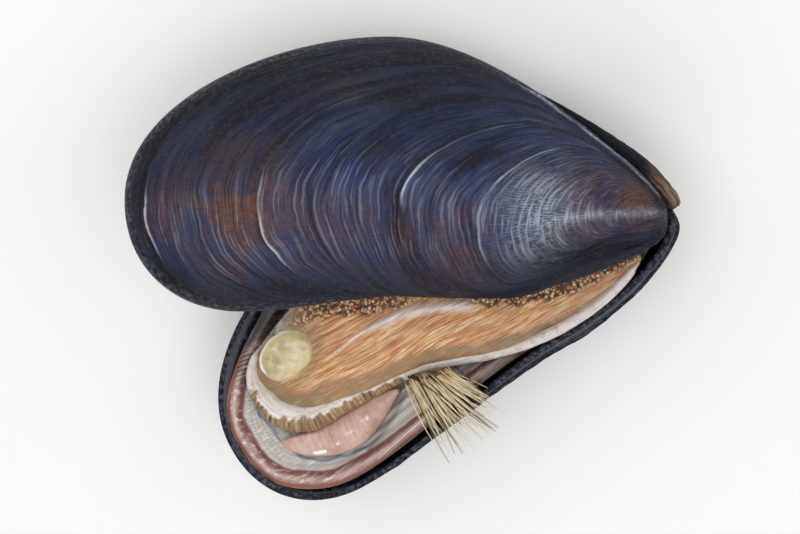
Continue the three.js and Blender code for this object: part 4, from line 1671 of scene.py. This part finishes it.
@dataclass
class Studio:
    """Pale floor, soft lights and the camera that looks down on the open mussel.

    Attributes:
        view: Heading from the part to the camera, before the pair is rolled to rest.
        eye_from_beak: The camera's place from the upper beak, before the roll, mm.
        width_at_beak: Width of the picture at the beak's distance, mm.
        distance: From the camera to the beak along the view, mm.
        room_strength: Brightness of the white room.
        floor_half, floor_drop: Half size of the floor, and how far it lies under the part, m.
    """

    view: tuple[float, float, float] = (0.1334, 0.1961, 0.9715)
    eye_from_beak: tuple[float, float, float] = (10.018, 58.156, 325.958)
    width_at_beak: float = 103.09
    distance: float = 330.0
    room_strength: float = 0.58
    floor_half: float = 3.0
    floor_drop: float = 0.0001

    def build(self) -> None:
        """Makes the floor, the lights, the room and the camera."""
        self.add_floor()
        self.add_light("key_light", (-0.25, 0.45, 0.75), 0.7, 2.8)
        self.add_light("fill_light", (0.45, 0.1, 0.7), 0.8, 1.5)
        self.add_light("front_light", (-0.1, -0.5, 0.5), 0.7, 0.9)
        world = bpy.data.worlds.new("soft_room")
        world.use_nodes = True
        world.node_tree.nodes["Background"].inputs["Color"].default_value = (1, 1, 1, 1)
        world.node_tree.nodes["Background"].inputs["Strength"].default_value = self.room_strength
        bpy.context.scene.world = world
        bpy.context.scene.view_settings.view_transform = "Standard"
        self.add_camera()

    def add_floor(self) -> None:
        """A wide pale floor just under the resting flat."""
        mesh = bpy.data.meshes.new("floor")
        signs = ((-1, -1), (1, -1), (1, 1), (-1, 1))
        corners = [(x * self.floor_half, y * self.floor_half, -self.floor_drop) for x, y in signs]
        mesh.from_pydata(corners, [], [(0, 1, 2, 3)])
        floor = bpy.data.objects.new("floor", mesh)
        bpy.context.collection.objects.link(floor)
        material, graph, shader = new_material("pale_floor", {"Roughness": 0.9, "IOR": 1.2})
        tint = graph.ramp(graph.noise(graph.place(), 6.0), [(0.3, "#f6f6f5"), (0.7, "#f9f9f8")])
        graph.put(shader.inputs["Base Color"], tint)
        mesh.materials.append(material)

    def add_light(self, name: str, place: tuple[float, float, float], size: float, power: float) -> None:
        """A square soft light aimed at the part.

        Args:
            name: Its name.
            place: Where it stands, m.
            size: Length of its side, m.
            power: Its power, W.
        """
        light = bpy.data.lights.new(name, "AREA")
        light.size = size
        light.energy = power
        lamp = bpy.data.objects.new(name, light)
        lamp.location = place
        lamp.rotation_euler = (Vector((0, 0, 0.01)) - Vector(place)).to_track_quat("-Z", "Y").to_euler()
        bpy.context.collection.objects.link(lamp)

    def add_camera(self) -> None:
        """The camera: looks along the view, hinge side upward in the picture, rolled with the pair."""
        camera = bpy.data.cameras.new("camera")
        camera.sensor_width = 36.0
        camera.lens = camera.sensor_width / self.width_at_beak * self.distance
        camera.clip_start = 0.01
        camera.clip_end = 20.0
        back = Vector(REST_ROLL @ np.array(self.view)).normalized()
        right = Vector(REST_ROLL @ np.array((0.0, 1.0, 0.0))).cross(back).normalized()
        pose = Matrix((right, back.cross(right), back)).transposed().to_4x4()
        pose.translation = Vector(REST_ROLL @ np.array(self.eye_from_beak) + ROW_SHIFT) * MM
        holder = bpy.data.objects.new("camera", camera)
        holder.matrix_world = pose
        bpy.context.collection.objects.link(holder)
        bpy.context.scene.camera = holder


def main() -> None:
    """Builds the pieces in order, then the stage."""
    logging.basicConfig(level=logging.INFO, format="%(message)s")
    build_effects()
    inside = ShellInside().build("shell_inside")
    outside = ShellOutside().build("shell_outside")
    Valve(Side.UPPER, 4.9, UPPER_LIE).build("upper_valve", "shell_upper", [outside, inside])
    Valve(Side.LOWER, 1.8, LOWER_LIE).build("lower_valve", "shell_lower", [outside, inside])
    Ligament().build(LigamentHorn().build("ligament_horn"))
    body = SoftBody()
    body.build_lining(LiningSkin().build("lining_skin"))
    body.build_lobe(MantleFlesh().build("mantle_flesh"))
    body.build_edge(RolledEdge().build("rolled_edge"))
    body.build_muscle(PlainFlesh("#d0be8d", "#e2d3a8", "#aa9966", "#f8f5ea", 0.0).build("muscle_flesh"))
    body.build_foot(PlainFlesh("#c49e90", "#d8bcb1", "#aa8072", "#ffffff", 0.35).build("foot_flesh"))
    Beard().build(BeardThread().build("beard_thread"))
    Studio().build()


if __name__ == "__main__":
    main()
